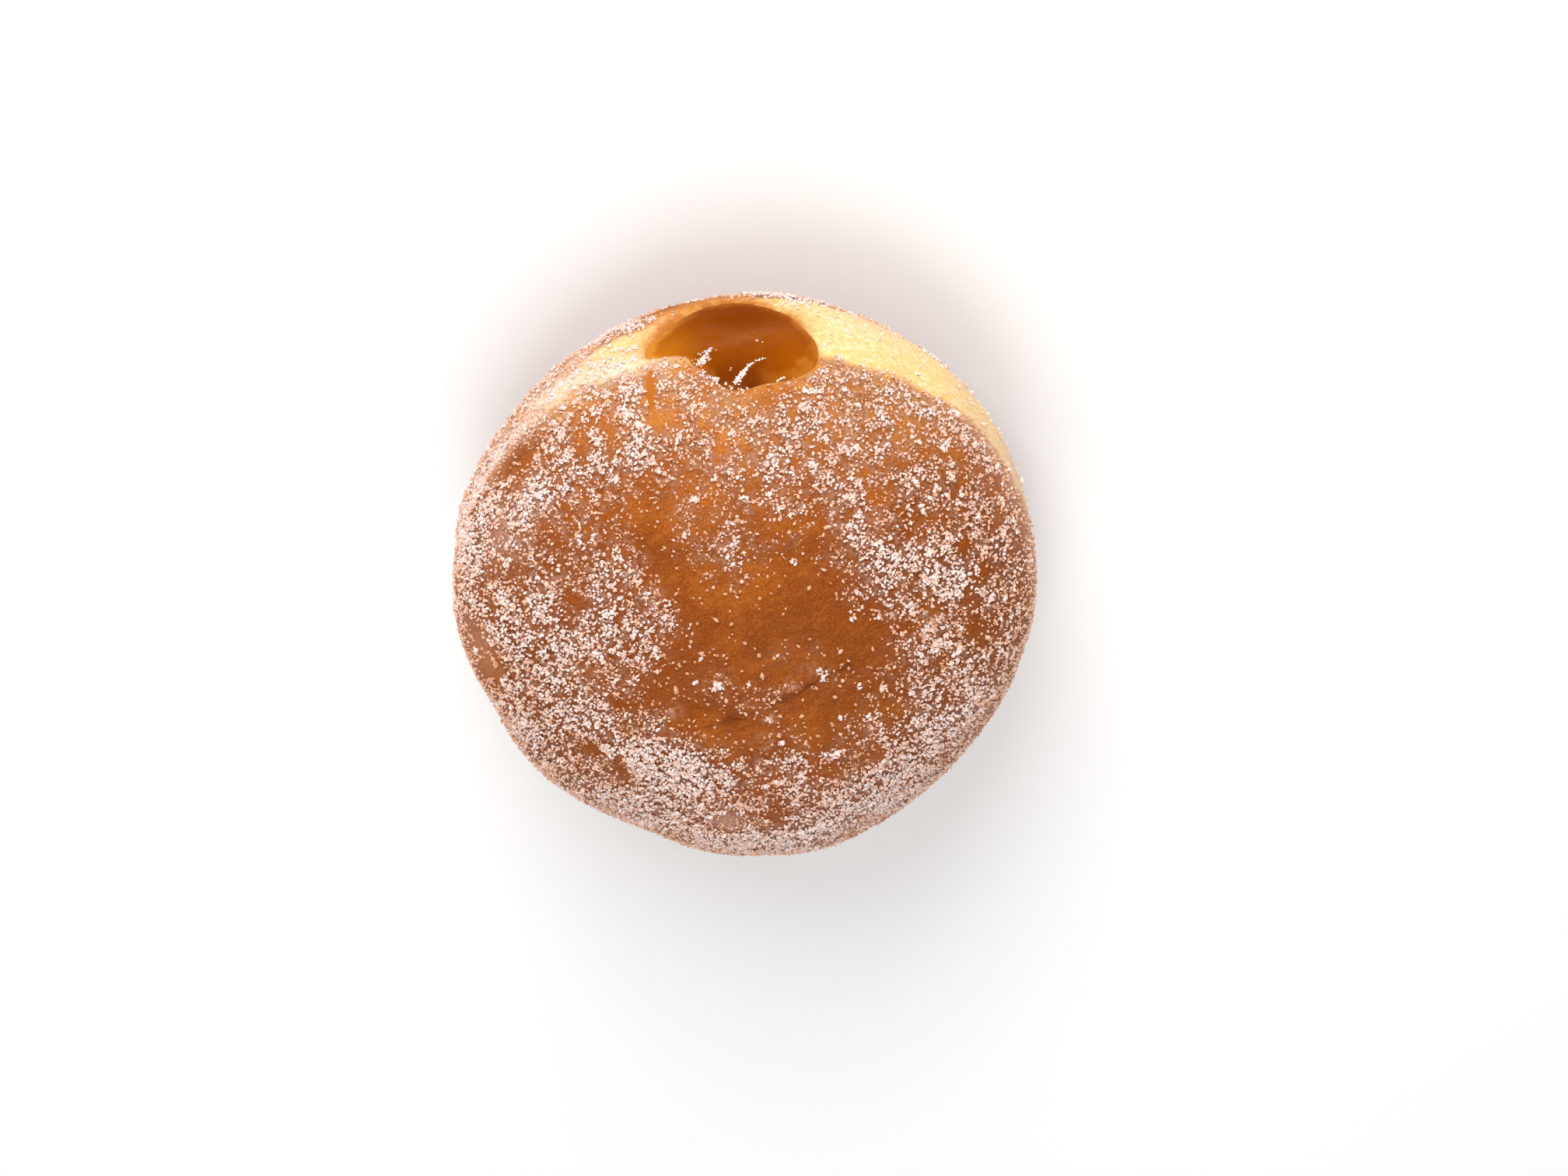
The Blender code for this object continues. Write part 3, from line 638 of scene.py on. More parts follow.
def dough_rings():
    """Directions of the rings over the dough's outside, from the mouth to near the far pole."""
    turns = ring_turns(DOUGH_SECTORS)
    edge = round_curve(MOUTH_EDGE, turns)
    step = DOUGH_FIRST_STEP
    distance = DOUGH_START
    while distance < HALF_GIRTH - DOUGH_LAST_STEP:
        yield around_mouth(turns, edge + (180.0 - edge) * distance / HALF_GIRTH)
        distance = distance + step
        step = min(step * DOUGH_STEP_GROWTH, DOUGH_LAST_STEP)


def face_places(directions):
    """How far each direction lies across the open face: to the side and up, in metres."""
    _, side, above = mouth_axes()
    full = reach(directions)
    return full, full * (directions @ side), full * (directions @ above)


def face_surface(directions, share):
    """The filling's open face, whose share is 1 at the mouth's edge."""
    full, aside, upward = face_places(directions)
    form = 0.0
    for at_side, at_above, wide, tall, slant, height in FACE_FORMS:
        turn = math.radians(slant)
        across = (aside - at_side) * math.cos(turn) + (upward - at_above) * math.sin(turn)
        up = (upward - at_above) * math.cos(turn) - (aside - at_side) * math.sin(turn)
        form = form + height * np.exp(-(across / wide) ** 2 - (up / tall) ** 2)
    flat = np.stack([aside, upward, np.zeros_like(aside)], axis=-1)
    form = form + unevenness(flat, FACE_NOISE, FACE_NOISE_SEED)
    inside = 1.0 - share ** FACE_EDGE_POWER
    return placed(directions, full - LIP_DROP + inside * form)


def face_ring(turns, share):
    """A ring on the filling's open face, at a share of the way out to the mouth's edge."""
    directions = around_mouth(turns, share * round_curve(MOUTH_EDGE, turns))
    return face_surface(directions, share)


def oval(sectors, distance, half_width, half_height):
    """A ring round the mouth's axis, at a distance from the heart."""
    out, side, above = mouth_axes()
    turn = np.radians(ring_turns(sectors))[:, None]
    ring = distance * out + half_width * np.cos(turn) * side + half_height * np.sin(turn) * above
    return heart() + ring


def back_rings(sectors):
    """Rings of the filling behind its face: under the lip, down the throat, round the pocket."""
    turns = ring_turns(sectors)
    angles = round_curve(MOUTH_EDGE, turns) * SHOULDER_SHARE
    directions = around_mouth(turns, angles)
    yield placed(directions, reach(directions) - LIP_DROP - SHOULDER_DEPTH)
    for distance, half_width, half_height in THROAT:
        yield oval(sectors, distance, half_width, half_height)
    for angle in POCKET_ANGLES:
        part = math.radians(angle)
        yield oval(
            sectors,
            POCKET_MIDDLE + POCKET_HALF_LENGTH * math.cos(part),
            POCKET_HALF_WIDTH * math.sin(part),
            POCKET_HALF_HEIGHT * math.sin(part),
        )


def pocket_end():
    """The far end of the filling's pocket."""
    return heart() + (POCKET_MIDDLE - POCKET_HALF_LENGTH) * mouth_axes()[0]


def grown(rings, end, gap):
    """The rings moved out by a gap along their surface's normals, with their end point."""
    rings = np.array(rings)
    along = np.gradient(rings, axis=0)
    round_them = np.roll(rings, -1, axis=1) - np.roll(rings, 1, axis=1)
    normals = unit(np.cross(along, round_them))
    outwards = rings - rings.mean(axis=1, keepdims=True)
    normals = normals * np.sign((normals * outwards).sum())
    return list(rings + gap * normals), end - gap * mouth_axes()[0]


def new_object(name, data):
    """A mesh, lamp or camera placed in the scene."""
    made = bpy.data.objects.new(name, data)
    bpy.context.scene.collection.objects.link(made)
    return made


def skin(name, start, rings, end):
    """A closed body over rings, from a start point to an end point, shaded smooth."""
    rings = np.array(rings)
    count, sectors = rings.shape[:2]
    points = np.concatenate([[start], rings.reshape(-1, 3), [end]])
    index = 1 + np.arange(count * sectors).reshape(count, sectors)
    beside = np.roll(index, -1, axis=1)
    quads = np.stack([index[:-1], index[1:], beside[1:], beside[:-1]], axis=-1).reshape(-1, 4)
    last = len(points) - 1
    caps = [(0, int(a), int(b)) for a, b in zip(index[0], beside[0])]
    caps += [(last, int(b), int(a)) for a, b in zip(index[-1], beside[-1])]
    mesh = bpy.data.meshes.new(name)
    mesh.from_pydata(points.tolist(), [], quads.tolist() + caps)
    mesh.shade_smooth()
    thing = new_object(name, mesh)
    if volume_of(mesh) < 0:
        mesh.flip_normals()
    return thing


def corners_of(mesh):
    """The places of a mesh's vertices."""
    corners = np.zeros(len(mesh.vertices) * 3)
    mesh.vertices.foreach_get("co", corners)
    return corners.reshape(-1, 3)


def volume_of(mesh):
    """The signed volume of a mesh, from its triangles."""
    mesh.calc_loop_triangles()
    triangles = np.zeros(len(mesh.loop_triangles) * 3, dtype=np.int32)
    mesh.loop_triangles.foreach_get("vertices", triangles)
    a, b, c = np.moveaxis(corners_of(mesh)[triangles.reshape(-1, 3)], 1, 0)
    return float(np.einsum("ij,ij->i", a, np.cross(b, c)).sum() / 6.0)


def paint(mesh, name, values):
    """Stores one number for each vertex, for a material to read."""
    layer = mesh.attributes.new(name, "FLOAT", "POINT")
    layer.data.foreach_set("value", np.asarray(values, dtype=np.float32).ravel())


def directions_of(mesh):
    """The direction of each vertex from the heart, and the vertex itself."""
    corners = corners_of(mesh)
    return unit(corners - heart()), corners


# How far the waist's edges stray, how soft they are, and how the crust browns away from them
BAND_STRAY = ((0.0060, 0.0009), (0.0022, 0.0005))
BAND_FINE_SIZE = 0.0010
BAND_FINE = 0.00035
BAND_SEED = 50
BAND_TOP_EDGE = (-0.0004, 0.0016)
BAND_LOW_EDGE = (-0.0004, 0.0014)
TOAST_RISE = 0.0030
TOAST_ON_BASE = 0.95
TOAST_NOISE = ((0.0085, 0.15), (0.0035, 0.12))
TOAST_SEED = 60
# The crust is lighter on the side of the mouth: bearing, spread, how much slower it browns
LIGHT_SIDE = -7.0
LIGHT_SPREAD = 48.0
LIGHT_RISE = 0.0076
# Lighter and darker places of the crust: bearing, climb, spread, amount
TOAST_AND_SHADE_SPOTS = (
    # (-112, 76) and (-86, 70.6) are painted shade in front of the lifted edges of crust
    (-112, 76, 2.6, 0.2), (-86, 70.6, 2.4, 0.4), (-86, 29.2, 2.2, 0.3), (-84, 29, 8, 0.05),
    (-79, 30.6, 2.8, 0.35), (-75, 32, 8, 0.15), (-74, 69, 6, 0.06), (-69, 25, 2.4, 0.3),
    (-62, 26, 8, 0.18), (-60, 48, 8, 0.08), (-59, 27.4, 2.6, 0.35), (-54, 51, 5, 0.08),
    (-32, 54, 7, 0.06), (-30, 60, 10, 0.15), (-28, 20, 10, -0.19), (-23, 14.5, 3, 0.12),
    (-8, 51, 8, 0.07), (-5, 75, 5, 0.08), (-5, 17.5, 2.5, 0.12), (0, 24, 12, -0.09),
    (4, 29, 7, -0.1), (10, 12, 3, 0.22), (19, 22, 5, -0.2), (25, 36, 4, 0.08),
    (27, 22.5, 8.5, -0.09), (28.5, 44.5, 4.7, 0.23), (44, 12, 3, 0.4), (50, 10.6, 3.6, 0.6),
    (55, 10, 6, 0.1), (59, 11, 3.4, 0.45), (74, -3, 3, 0.4), (91, 21, 4.6, 0.15),
    (92, 21, 8, -0.35), (165, 78, 2.4, 0.2), (170, 45, 9, -0.05),
)


def band_share(directions):
    """How pale the crust is, 1 in the waist and 0 on the browned crown and base."""
    flat = plain_surface(directions)
    bearing = bearing_of(directions)
    stray = unevenness(flat, BAND_STRAY, BAND_SEED)
    fine = BAND_FINE * noise(flat, BAND_FINE_SIZE, BAND_SEED + 2)
    under = round_curve(BAND_TOP, bearing) + stray + fine - flat[..., 2]
    over = flat[..., 2] - round_curve(BAND_LOW, bearing) - stray + fine
    pale = smooth_step(*BAND_TOP_EDGE, under) * smooth_step(*BAND_LOW_EDGE, over)
    return pale * cleared(directions, BROWNED)


def toast_and_shade_share(directions):
    """How dark the crust is browned, with painted shade in front of the lifted edges, from 0 beside
    the waist to 1.
    """
    flat = plain_surface(directions)
    bearing = bearing_of(directions)
    above = flat[..., 2] - round_curve(BAND_TOP, bearing)
    below = round_curve(BAND_LOW, bearing) - flat[..., 2]
    near_mouth = np.exp(-(turn_between(bearing, LIGHT_SIDE) / LIGHT_SPREAD) ** 2)
    crown = 1.0 - np.exp(-np.maximum(above, 0.0) / (TOAST_RISE + LIGHT_RISE * near_mouth))
    base = TOAST_ON_BASE * (1.0 - np.exp(-np.maximum(below, 0.0) / TOAST_RISE))
    toast_and_shade = np.where(above > 0, crown, base) + unevenness(flat, TOAST_NOISE, TOAST_SEED)
    return np.clip(toast_and_shade + hills(directions, TOAST_AND_SHADE_SPOTS), 0.0, 1.0)


def sugar_density(directions):
    """Sugar grains for each square millimetre of crust."""
    grains = (SUGAR_BASE + hills(directions, THICK_SUGAR)) * cleared(directions, BARE)
    waist = smooth_step(*SUGAR_FADES, band_share(directions))
    grains = grains * (1.0 - waist * (1.0 - SUGAR_ON_WAIST))
    return grains + hills(directions, WAIST_SUGAR) + SUGAR_SCATTERED


def drip_share(directions):
    """The narrow run of filling that went down over the crust to the left of the mouth."""
    flat = plain_surface(directions)
    level = flat[..., 2]
    middle = DRIP_SIDE + DRIP_SLANT * (level - DRIP_FROM)
    part = np.clip((level - DRIP_FROM) / (DRIP_TO - DRIP_FROM), 0.0, 1.0)
    wide = DRIP_HALF_WIDTH * (0.35 + 0.65 * np.sin(math.pi * part ** 0.8)) * (1.0 - 0.3 * part)
    wide = wide + DRIP_STRAY * noise(flat, DRIP_STRAY_SIZE, DRIP_SEED)
    off = np.abs(flat[..., 0] - middle) / np.maximum(wide, TINY)
    along = smooth_step(*DRIP_START, level - DRIP_FROM)
    along = along * smooth_step(DRIP_TO, DRIP_TO - DRIP_END, level)
    return smooth_step(*DRIP_EDGE, off) * along * (flat[..., 1] < 0)


def film_share(directions, places):
    """How strong a film on the crust is, from places of bearing, climb, spread and share."""
    share = 0.0
    for place in places:
        share = np.maximum(share, hills(directions, [place]))
    return share


def crease_shadow_share(points):
    """The painted shadow in front of the lifted edges of crust: a dark line and softer shade."""
    share = np.zeros(len(points))
    crown = np.flatnonzero(points[:, 2] > CREASE_LEAST_LEVEL)
    broken = 0.5 + 0.5 * noise(points[crown], CREASE_LINE_BREAK, CREASE_LINE_SEED)
    patches = noise(points[crown], CREASE_SHADE_BREAK, CREASE_LINE_SEED + 1)
    shade = CREASE_SHADE * smooth_step(*CREASE_SHADE_PATCHES, patches)
    for knots, _, height in FLAKES:
        edge = flake_edge(knots, CREASE_LINE_STEPS) + [0.0, CREASE_LINE_AHEAD]
        off = points[crown, None, :2] - edge[None]
        near = np.hypot(off[..., 0], off[..., 1]).min(axis=1)
        line = min(1.0, 2.0 * height) * broken * np.exp(-(near / CREASE_LINE_WIDTH) ** 2)
        soft = shade * np.exp(-(near / CREASE_SHADE_WIDTH) ** 2)
        share[crown] = np.maximum(share[crown], np.maximum(line, soft))
    return share


def clusters(directions):
    """How the grains gather in small clumps, about 1 on average."""
    flat = plain_surface(directions)
    gathered = 1.0
    for number, (size, amount) in enumerate(CLUSTERS):
        gathered = gathered * (1.0 + amount * noise(flat, size, CLUSTER_SEED + number))
    return np.maximum(gathered, CLUSTER_LEAST)


# Golden crust soaked with filling round the mouth: turn, spread of turn, reach in degrees, amount
GOLDEN_RIM = (
    (326.0, 34.0, 3.4, 1.0), (290.0, 34.0, 4.2, 1.0), (250.0, 22.0, 2.2, 1.0),
    (6.0, 12.0, 2.0, 0.6), (104.0, 14.0, 2.4, 0.9), (150.0, 40.0, 0.9, 0.6),
    (208.0, 26.0, 2.4, 0.75),
)


def golden_share(directions):
    """How much the crust is soaked golden with filling."""
    outside, turn = beyond_mouth(directions)
    golden = 0.0
    for at, wide, far, amount in GOLDEN_RIM:
        beside = np.exp(-(turn_between(turn, at) / wide) ** 2)
        golden = np.maximum(golden, amount * beside * np.exp(-np.maximum(outside, 0.0) / far))
    return golden


def paint_crust(mesh):
    """Stores what the crust's material reads at each vertex."""
    directions, points = directions_of(mesh)
    depth = reach(directions) - np.linalg.norm(points - heart(), axis=1)
    grains = sugar_density(directions) * clusters(directions)
    shares = {
        "band": band_share(directions),
        "toast_and_shade": toast_and_shade_share(directions),
        "dust_and_shade": smooth_step(*DUSTED, grains),
        "golden": golden_share(directions),
        "drip": drip_share(directions),
        "veil": film_share(directions, VEILS),
        "haze_shade_and_sheen": film_share(directions, HAZE_SHADE_AND_SHEEN),
        "broken": film_share(directions, BROKEN_FILMS),
        "crease_shadow": crease_shadow_share(points),
        "stain": film_share(directions, STAINS),
        "inside": smooth_step(*INSIDE_DEPTH, depth),
    }
    for name, values in shares.items():
        paint(mesh, name, values)


def flake_edge(knots, steps):
    """Points in metres along the line through knots in millimetres."""
    at = np.linspace(0.0, len(knots) - 1.0, steps)
    columns = zip(*knots)
    return MM * np.stack([np.interp(at, range(len(knots)), column) for column in columns], axis=-1)


def above_crown(places, lift):
    """Points lifted off the crown over places given by X and Y in metres."""
    directions = crown_directions(places)
    return dough_surface(directions) + np.broadcast_to(lift, len(places))[:, None] * directions


def make_flakes():
    """The thin lifted edges of crust along the crease, each a closed sliver let into the crust."""
    for number, (knots, width, height) in enumerate(FLAKES):
        share = np.linspace(0.0, 1.0, FLAKE_STEPS)
        edge = flake_edge(knots, FLAKE_STEPS)
        along = unit(np.gradient(edge, axis=0))
        back = np.stack([along[:, 1], -along[:, 0]], axis=-1)
        back = back * np.where(back[:, 1:] > 0, -1.0, 1.0)
        flat = np.column_stack([edge, np.zeros(FLAKE_STEPS)])
        coarse, fine = FLAKE_JAG_SIZES
        jag = noise(flat, coarse, FLAKE_SEED + number) + 0.6 * noise(flat, fine, FLAKE_SEED + 10)
        edge = edge + back * (FLAKE_JAG * jag)[:, None]
        rise = 0.65 + 0.5 * noise(flat, FLAKE_RISE_SIZE, FLAKE_SEED + 4 + number)
        rise = MM * height * np.sin(math.pi * share) ** 0.6 * rise
        loops = []
        for part in np.linspace(1.0, 0.0, FLAKE_BACK_STEPS):
            lift = (rise + FLAKE_SUNK) * (1.0 - part) ** 1.5 - FLAKE_SUNK
            loops.append(above_crown(edge + back * (part * MM * width), lift))
        for part in np.linspace(0.05, 1.0, FLAKE_UNDER_STEPS):
            loops.append(above_crown(edge + back * (part * MM * width), -FLAKE_DEPTH))
        loops = np.array(loops).transpose(1, 0, 2)
        flake = skin(f"crust_flake_{number + 1}", loops[0].mean(axis=0), loops,
                     loops[-1].mean(axis=0))
        paint_crust(flake.data)
        yield flake


def make_crumb():
    """The crumb of dark crust that stands out of the side, let into it."""
    up = towards(CRUMB_BEARING, CRUMB_CLIMB)
    first, second = tangents(up[None])
    middle = dough_surface(up[None])[0] - CRUMB_SUNK * up
    rise = np.radians(np.linspace(0.0, 180.0, CRUMB_RINGS + 2))[:, None, None]
    turn = np.radians(ring_turns(CRUMB_SECTORS))[None, :, None]
    ball = np.cos(rise) * up * CRUMB_HALF_SIZE[2]
    ball = ball + np.sin(rise) * np.cos(turn) * first * CRUMB_HALF_SIZE[0]
    ball = ball + np.sin(rise) * np.sin(turn) * second * CRUMB_HALF_SIZE[1]
    ball = ball * (1.0 + CRUMB_ROUGHNESS * noise(ball, CRUMB_GRAIN, CRUMB_SEED)[..., None])
    points = middle + ball
    crumb = skin("crust_crumb", points[0, 0], points[1:-1], points[-1, 0])
    paint_crust(crumb.data)
    return crumb


def make_dough():
    """The dough, from its far side over the outside, in at the mouth and round the pocket."""
    far_pole = around_mouth(np.array([0.0]), np.array([180.0]))
    outside = [dough_surface(directions) for directions in dough_rings()]
    turns = ring_turns(DOUGH_SECTORS)
    edge = face_ring(turns, 1.0)
    inside, end = grown([edge, *back_rings(DOUGH_SECTORS)], pocket_end(), WALL_GAP)
    dough = skin("dough_crust", dough_surface(far_pole)[0], outside[::-1] + inside, end)
    paint_crust(dough.data)
    return dough


# Tones of the filling: name, place to the side and up, width and height of the soft spot, colour
# The darker three are painted shade: under the upper rim, along the lower lip and in the fold at
# its edge
FILLING_TONES = (
    ("upper_painted_shade", -0.0012, -0.0068, 0.0088, 0.0056, (0.190, 0.032, 0.0004)),
    ("lower_painted_shade", 0.0000, 0.0096, 0.0044, 0.0046, (0.155, 0.027, 0.0008)),
    ("right_amber", -0.0098, 0.0048, 0.0038, 0.0056, (0.315, 0.069, 0.0008)),
    ("left_amber", 0.0102, 0.0014, 0.0042, 0.0052, (0.43, 0.122, 0.003)),
    ("cloud", -0.0022, 0.0000, 0.0050, 0.0024, (0.32, 0.082, 0.003)),
    ("lip_painted_shadow", -0.0028, 0.0096, 0.0024, 0.0018, (0.135, 0.022, 0.0006)),
)
# The golden rim of the filling: how it strays, where it is, how strong it is on the right
RIM_STRAY = ((0.0022, 0.07), (0.0008, 0.05))
RIM_SEED = 97
RIM_SHARES = (0.82, 1.02)
RIM_ON_LEFT = (0.006, 0.011)
RIM_ON_RIGHT = (0.007, 0.010)
RIM_RIGHT_SHARE = 0.35
# Distance from the heart at which places on the open face are given
FACE_DISTANCE = 0.0440
# Painted highlights on the wet filling, as white grains: place to the side and up, half sizes in
# mm, slant, grains
FACE_GLINTS = (
    (4.0, 4.9, 0.32, 0.22, 54.0, 52), (3.4, 4.1, 0.36, 0.12, 62.0, 30),
    (4.6, 5.4, 0.16, 0.12, 0.0, 12), (3.9, 3.7, 0.22, 0.06, 10.0, 8),
    (2.9, 3.3, 0.16, 0.06, 50.0, 6), (3.2, 5.1, 0.16, 0.08, 0.0, 7),
    (-0.8, 9.0, 0.26, 0.22, 49.0, 46), (-1.4, 8.3, 0.34, 0.18, 49.0, 50),
    (-2.1, 7.5, 0.34, 0.10, 47.0, 26), (-2.8, 6.9, 0.30, 0.05, 40.0, 12),
    (-3.7, 6.3, 0.36, 0.03, 27.0, 9), (-4.4, 5.9, 0.16, 0.03, 20.0, 4),
    (-7.2, 8.3, 0.50, 0.04, 28.0, 13),
    (-3.5, 2.3, 0.08, 0.08, 0.0, 5), (-4.2, 2.5, 0.04, 0.04, 0.0, 2),
    (3.0, 3.2, 0.06, 0.06, 0.0, 3), (2.2, 3.5, 0.06, 0.06, 0.0, 2),
    (0.9, 9.3, 0.10, 0.10, 0.0, 6), (0.2, 9.9, 0.10, 0.10, 0.0, 6),
    (5.0, 7.1, 0.16, 0.12, 0.0, 8), (4.1, 7.2, 0.12, 0.10, 0.0, 6), (3.2, 7.9, 0.3, 0.2, 0.0, 10),
    (0.2, 7.3, 0.05, 0.05, 0.0, 2), (-2.2, 10.1, 0.10, 0.06, 0.0, 4),
)
# Size of their grains beside that of others, and how far grains of single pieces are lifted
FACE_GLINT_SIZE = 0.55
BIT_LIFT = (0.00002, 0.00022)


def make_filling():
    """The filling, from the middle of its open face to the far end of its pocket."""
    turns = ring_turns(FILLING_SECTORS)
    shares = (np.arange(FILLING_FACE_RINGS) + 1.0) / FILLING_FACE_RINGS
    rings = [face_ring(turns, share) for share in shares]
    rings.extend(back_rings(FILLING_SECTORS))
    filling = skin("apple_filling_gel", face_ring(turns, 0.0)[0], rings, pocket_end())
    directions, corners = directions_of(filling.data)
    _, aside, upward = face_places(directions)
    for name, at_side, at_above, wide, tall, _ in FILLING_TONES:
        far = ((aside - at_side) / wide) ** 2 + ((upward - at_above) / tall) ** 2
        paint(filling.data, name, np.exp(-far))
    outside, turn = beyond_mouth(directions)
    share = 1.0 + outside / round_curve(MOUTH_EDGE, turn)
    share = share + unevenness(corners, RIM_STRAY, RIM_SEED)
    sides = smooth_step(*RIM_ON_LEFT, aside) + RIM_RIGHT_SHARE * smooth_step(*RIM_ON_RIGHT, -aside)
    paint(filling.data, "rim", smooth_step(*RIM_SHARES, share) * (0.25 + 0.75 * sides))
    return filling


def even_directions(count, draw):
    """Directions spread at random over the whole sphere."""
    upward = draw.uniform(-1.0, 1.0, count)
    turn = draw.uniform(-math.pi, math.pi, count)
    flat = np.sqrt(1.0 - upward ** 2)
    return np.stack([flat * np.cos(turn), flat * np.sin(turn), upward], axis=-1)


def tangents(directions):
    """Two directions across each direction."""
    helper = np.where(np.abs(directions[:, 2:]) < 0.9, [[0.0, 0.0, 1.0]], [[1.0, 0.0, 0.0]])
    first = unit(np.cross(helper, directions))
    return first, np.cross(directions, first)


def surface_normals(directions, surface, step):
    """The outward normals of a surface given by direction."""
    ahead, aside = (
        surface(unit(directions + step * across)) - surface(unit(directions - step * across))
        for across in tangents(directions)
    )
    normals = unit(np.cross(ahead, aside))
    facing = np.sign(np.einsum("ij,ij->i", normals, directions))
    return normals * facing[:, None]


def lone_share(directions):
    """How far the grains lie alone at each direction, from 0 to 1."""
    lone = smooth_step(LONE_BELOW[1], LONE_BELOW[0], sugar_density(directions))
    return lone * (1.0 - band_share(directions))


def grain_places(draw):
    """Directions of the sugar grains, as dense on the crust as sugar_density says."""
    directions = even_directions(CANDIDATES, draw)
    normals = surface_normals(directions, plain_surface, PLAIN_STEP)
    facing = np.einsum("ij,ij->i", normals, directions)
    area = plain_reach(directions) ** 2 / facing * (4.0 * math.pi / CANDIDATES) / MM ** 2
    wanted = sugar_density(directions) * clusters(directions) * area
    outside, turn = beyond_mouth(directions)
    spill = sum(far * np.exp(-(turn_between(turn, at) / wide) ** 2) for at, wide, far in SPILLS)
    begins, full = EDGE_FADES
    wanted = wanted * smooth_step(begins - spill, full - 0.3 * spill, outside)
    wanted = wanted * (1.0 - drip_share(directions))
    wanted = wanted * (1.0 - GOLDEN_CLEARS * golden_share(directions)) ** 2
    wanted = wanted * (1.0 - LONE_CLEARS * lone_share(directions))
    level = plain_reach(directions) * directions[:, 2] + WAIST_LEVEL
    wanted = wanted * (1.0 - UNDERSIDE_CLEARS * smooth_step(*UNDERSIDE_LEVELS, level))
    kept = (draw.uniform(0.0, 1.0, CANDIDATES) < wanted) & (level > FLOOR_CLEARANCE)
    return directions[kept]


# A plain crystal: the places of its six corners and its eight faces
CRYSTAL = np.array([
    (0.5, 0.0, 0.0), (-0.5, 0.0, 0.0), (0.0, 0.5, 0.0), (0.0, -0.5, 0.0), (0.0, 0.0, 0.5),
    (0.0, 0.0, -0.5),
])
CRYSTAL_FACES = np.array([
    (0, 2, 4), (2, 1, 4), (1, 3, 4), (3, 0, 4), (2, 0, 5), (1, 2, 5), (3, 1, 5), (0, 3, 5),
])


def random_turns(count, draw):
    """Rotation matrices of random attitudes."""
    spin = draw.normal(size=(count, 4))
    w, x, y, z = (spin / np.linalg.norm(spin, axis=1, keepdims=True)).T
    return np.stack([
        np.stack([1 - 2 * (y * y + z * z), 2 * (x * y - w * z), 2 * (x * z + w * y)], axis=-1),
        np.stack([2 * (x * y + w * z), 1 - 2 * (x * x + z * z), 2 * (y * z - w * x)], axis=-1),
        np.stack([2 * (x * z - w * y), 2 * (y * z + w * x), 1 - 2 * (x * x + y * y)], axis=-1),
    ], axis=1)


def grain_mesh(name, centres, white, scale, draw):
    """One mesh of skewed little crystals about their centres, larger where they are whiter."""
    count = len(centres)
    length = GRAIN_LENGTH[0] * (1.0 + GRAIN_WHITE_GROWTH * white) * scale
    length = length * np.exp(draw.normal(0.0, GRAIN_LENGTH[1], count))
    sizes = np.stack([
        length,
        length * GRAIN_MIDDLE * draw.uniform(*GRAIN_OTHERS_VARY, count),
        length * GRAIN_THIN * draw.uniform(*GRAIN_OTHERS_VARY, count),
    ], axis=-1)
    shift = 0.5 * draw.uniform(-GRAIN_SKEW, GRAIN_SKEW, (count, len(CRYSTAL), 3))
    corners = CRYSTAL[None] + shift
    corners = np.einsum("nij,nkj->nki", random_turns(count, draw), corners * sizes[:, None, :])
    corners = (corners + centres[:, None, :]).reshape(-1, 3)
    starts = len(CRYSTAL) * np.arange(count)[:, None, None]
    faces = (CRYSTAL_FACES[None] + starts).reshape(-1, 3)
    mesh = bpy.data.meshes.new(name)
    mesh.from_pydata(corners.tolist(), [], faces.tolist())
    return mesh


def sugared_surface(directions):
    """The dough's surface, or the filling's open face within the mouth."""
    outside, turn = beyond_mouth(directions)
    share = np.clip(1.0 + outside / round_curve(MOUTH_EDGE, turn), 0.0, 1.0)
    inside = (outside < 0.0)[:, None]
    return np.where(inside, face_surface(directions, share), dough_surface(directions))


def crown_directions(places):
    """Directions of places on the crown given by X and Y in metres."""
    height = np.full(len(places), CROWN_HEIGHT)
    return unit(np.column_stack([np.asarray(places), height]))


def strewn(bits, draw):
    """Places in metres of the grains of small pieces of sugar on a plane."""
    for x, y, long, short, turn, count in bits:
        along, across = draw.normal(0.0, 1.0, (2, count)) * np.array([[long], [short]])
        turn = math.radians(turn)
        yield np.stack([
            x + along * math.cos(turn) - across * math.sin(turn),
            y + along * math.sin(turn) + across * math.cos(turn),
        ], axis=-1) * MM


def large_bits_and_glints(draw):
    """Grain centres of the few large pieces of sugar on the crown and of the filling's painted
    highlights.
    """
    on_crown = crown_directions(np.concatenate(list(strewn(LARGE_BITS, draw))))
    out, side, above = mouth_axes()
    across = np.concatenate(list(strewn(FACE_GLINTS, draw)))
    # white grains over the filling, set as painted highlights where the wet gel glints
    glints_on_face = unit(FACE_DISTANCE * out + across[:, :1] * side + across[:, 1:] * above)
    directions = np.concatenate([on_crown, glints_on_face])
    scale = np.where(np.arange(len(directions)) < len(on_crown), 1.0, FACE_GLINT_SIZE)
    lift = draw.uniform(*BIT_LIFT, len(directions)) * scale
    return sugared_surface(directions) + lift[:, None] * directions, scale


def heaps(directions, normals, draw):
    """Small white heaps of grains on some of the places: whiteness and centre of each grain."""
    chosen = draw.uniform(0.0, 1.0, len(directions)) < HEAP_SHARE
    bases = np.repeat(directions[chosen], HEAP_GRAINS, axis=0)
    upward = np.repeat(normals[chosen], HEAP_GRAINS, axis=0)
    first, second = tangents(bases)
    off = draw.normal(0.0, HEAP_SPREAD, (2, len(bases)))
    far = np.hypot(*off) / HEAP_SPREAD
    points = dough_surface(bases) + off[0][:, None] * first + off[1][:, None] * second
    lift = HEAP_HEIGHT * np.exp(-far ** 2 / 2.0) * draw.uniform(0.2, 1.0, len(bases))
    return draw.uniform(0.55, 1.05, len(bases)), points + lift[:, None] * upward


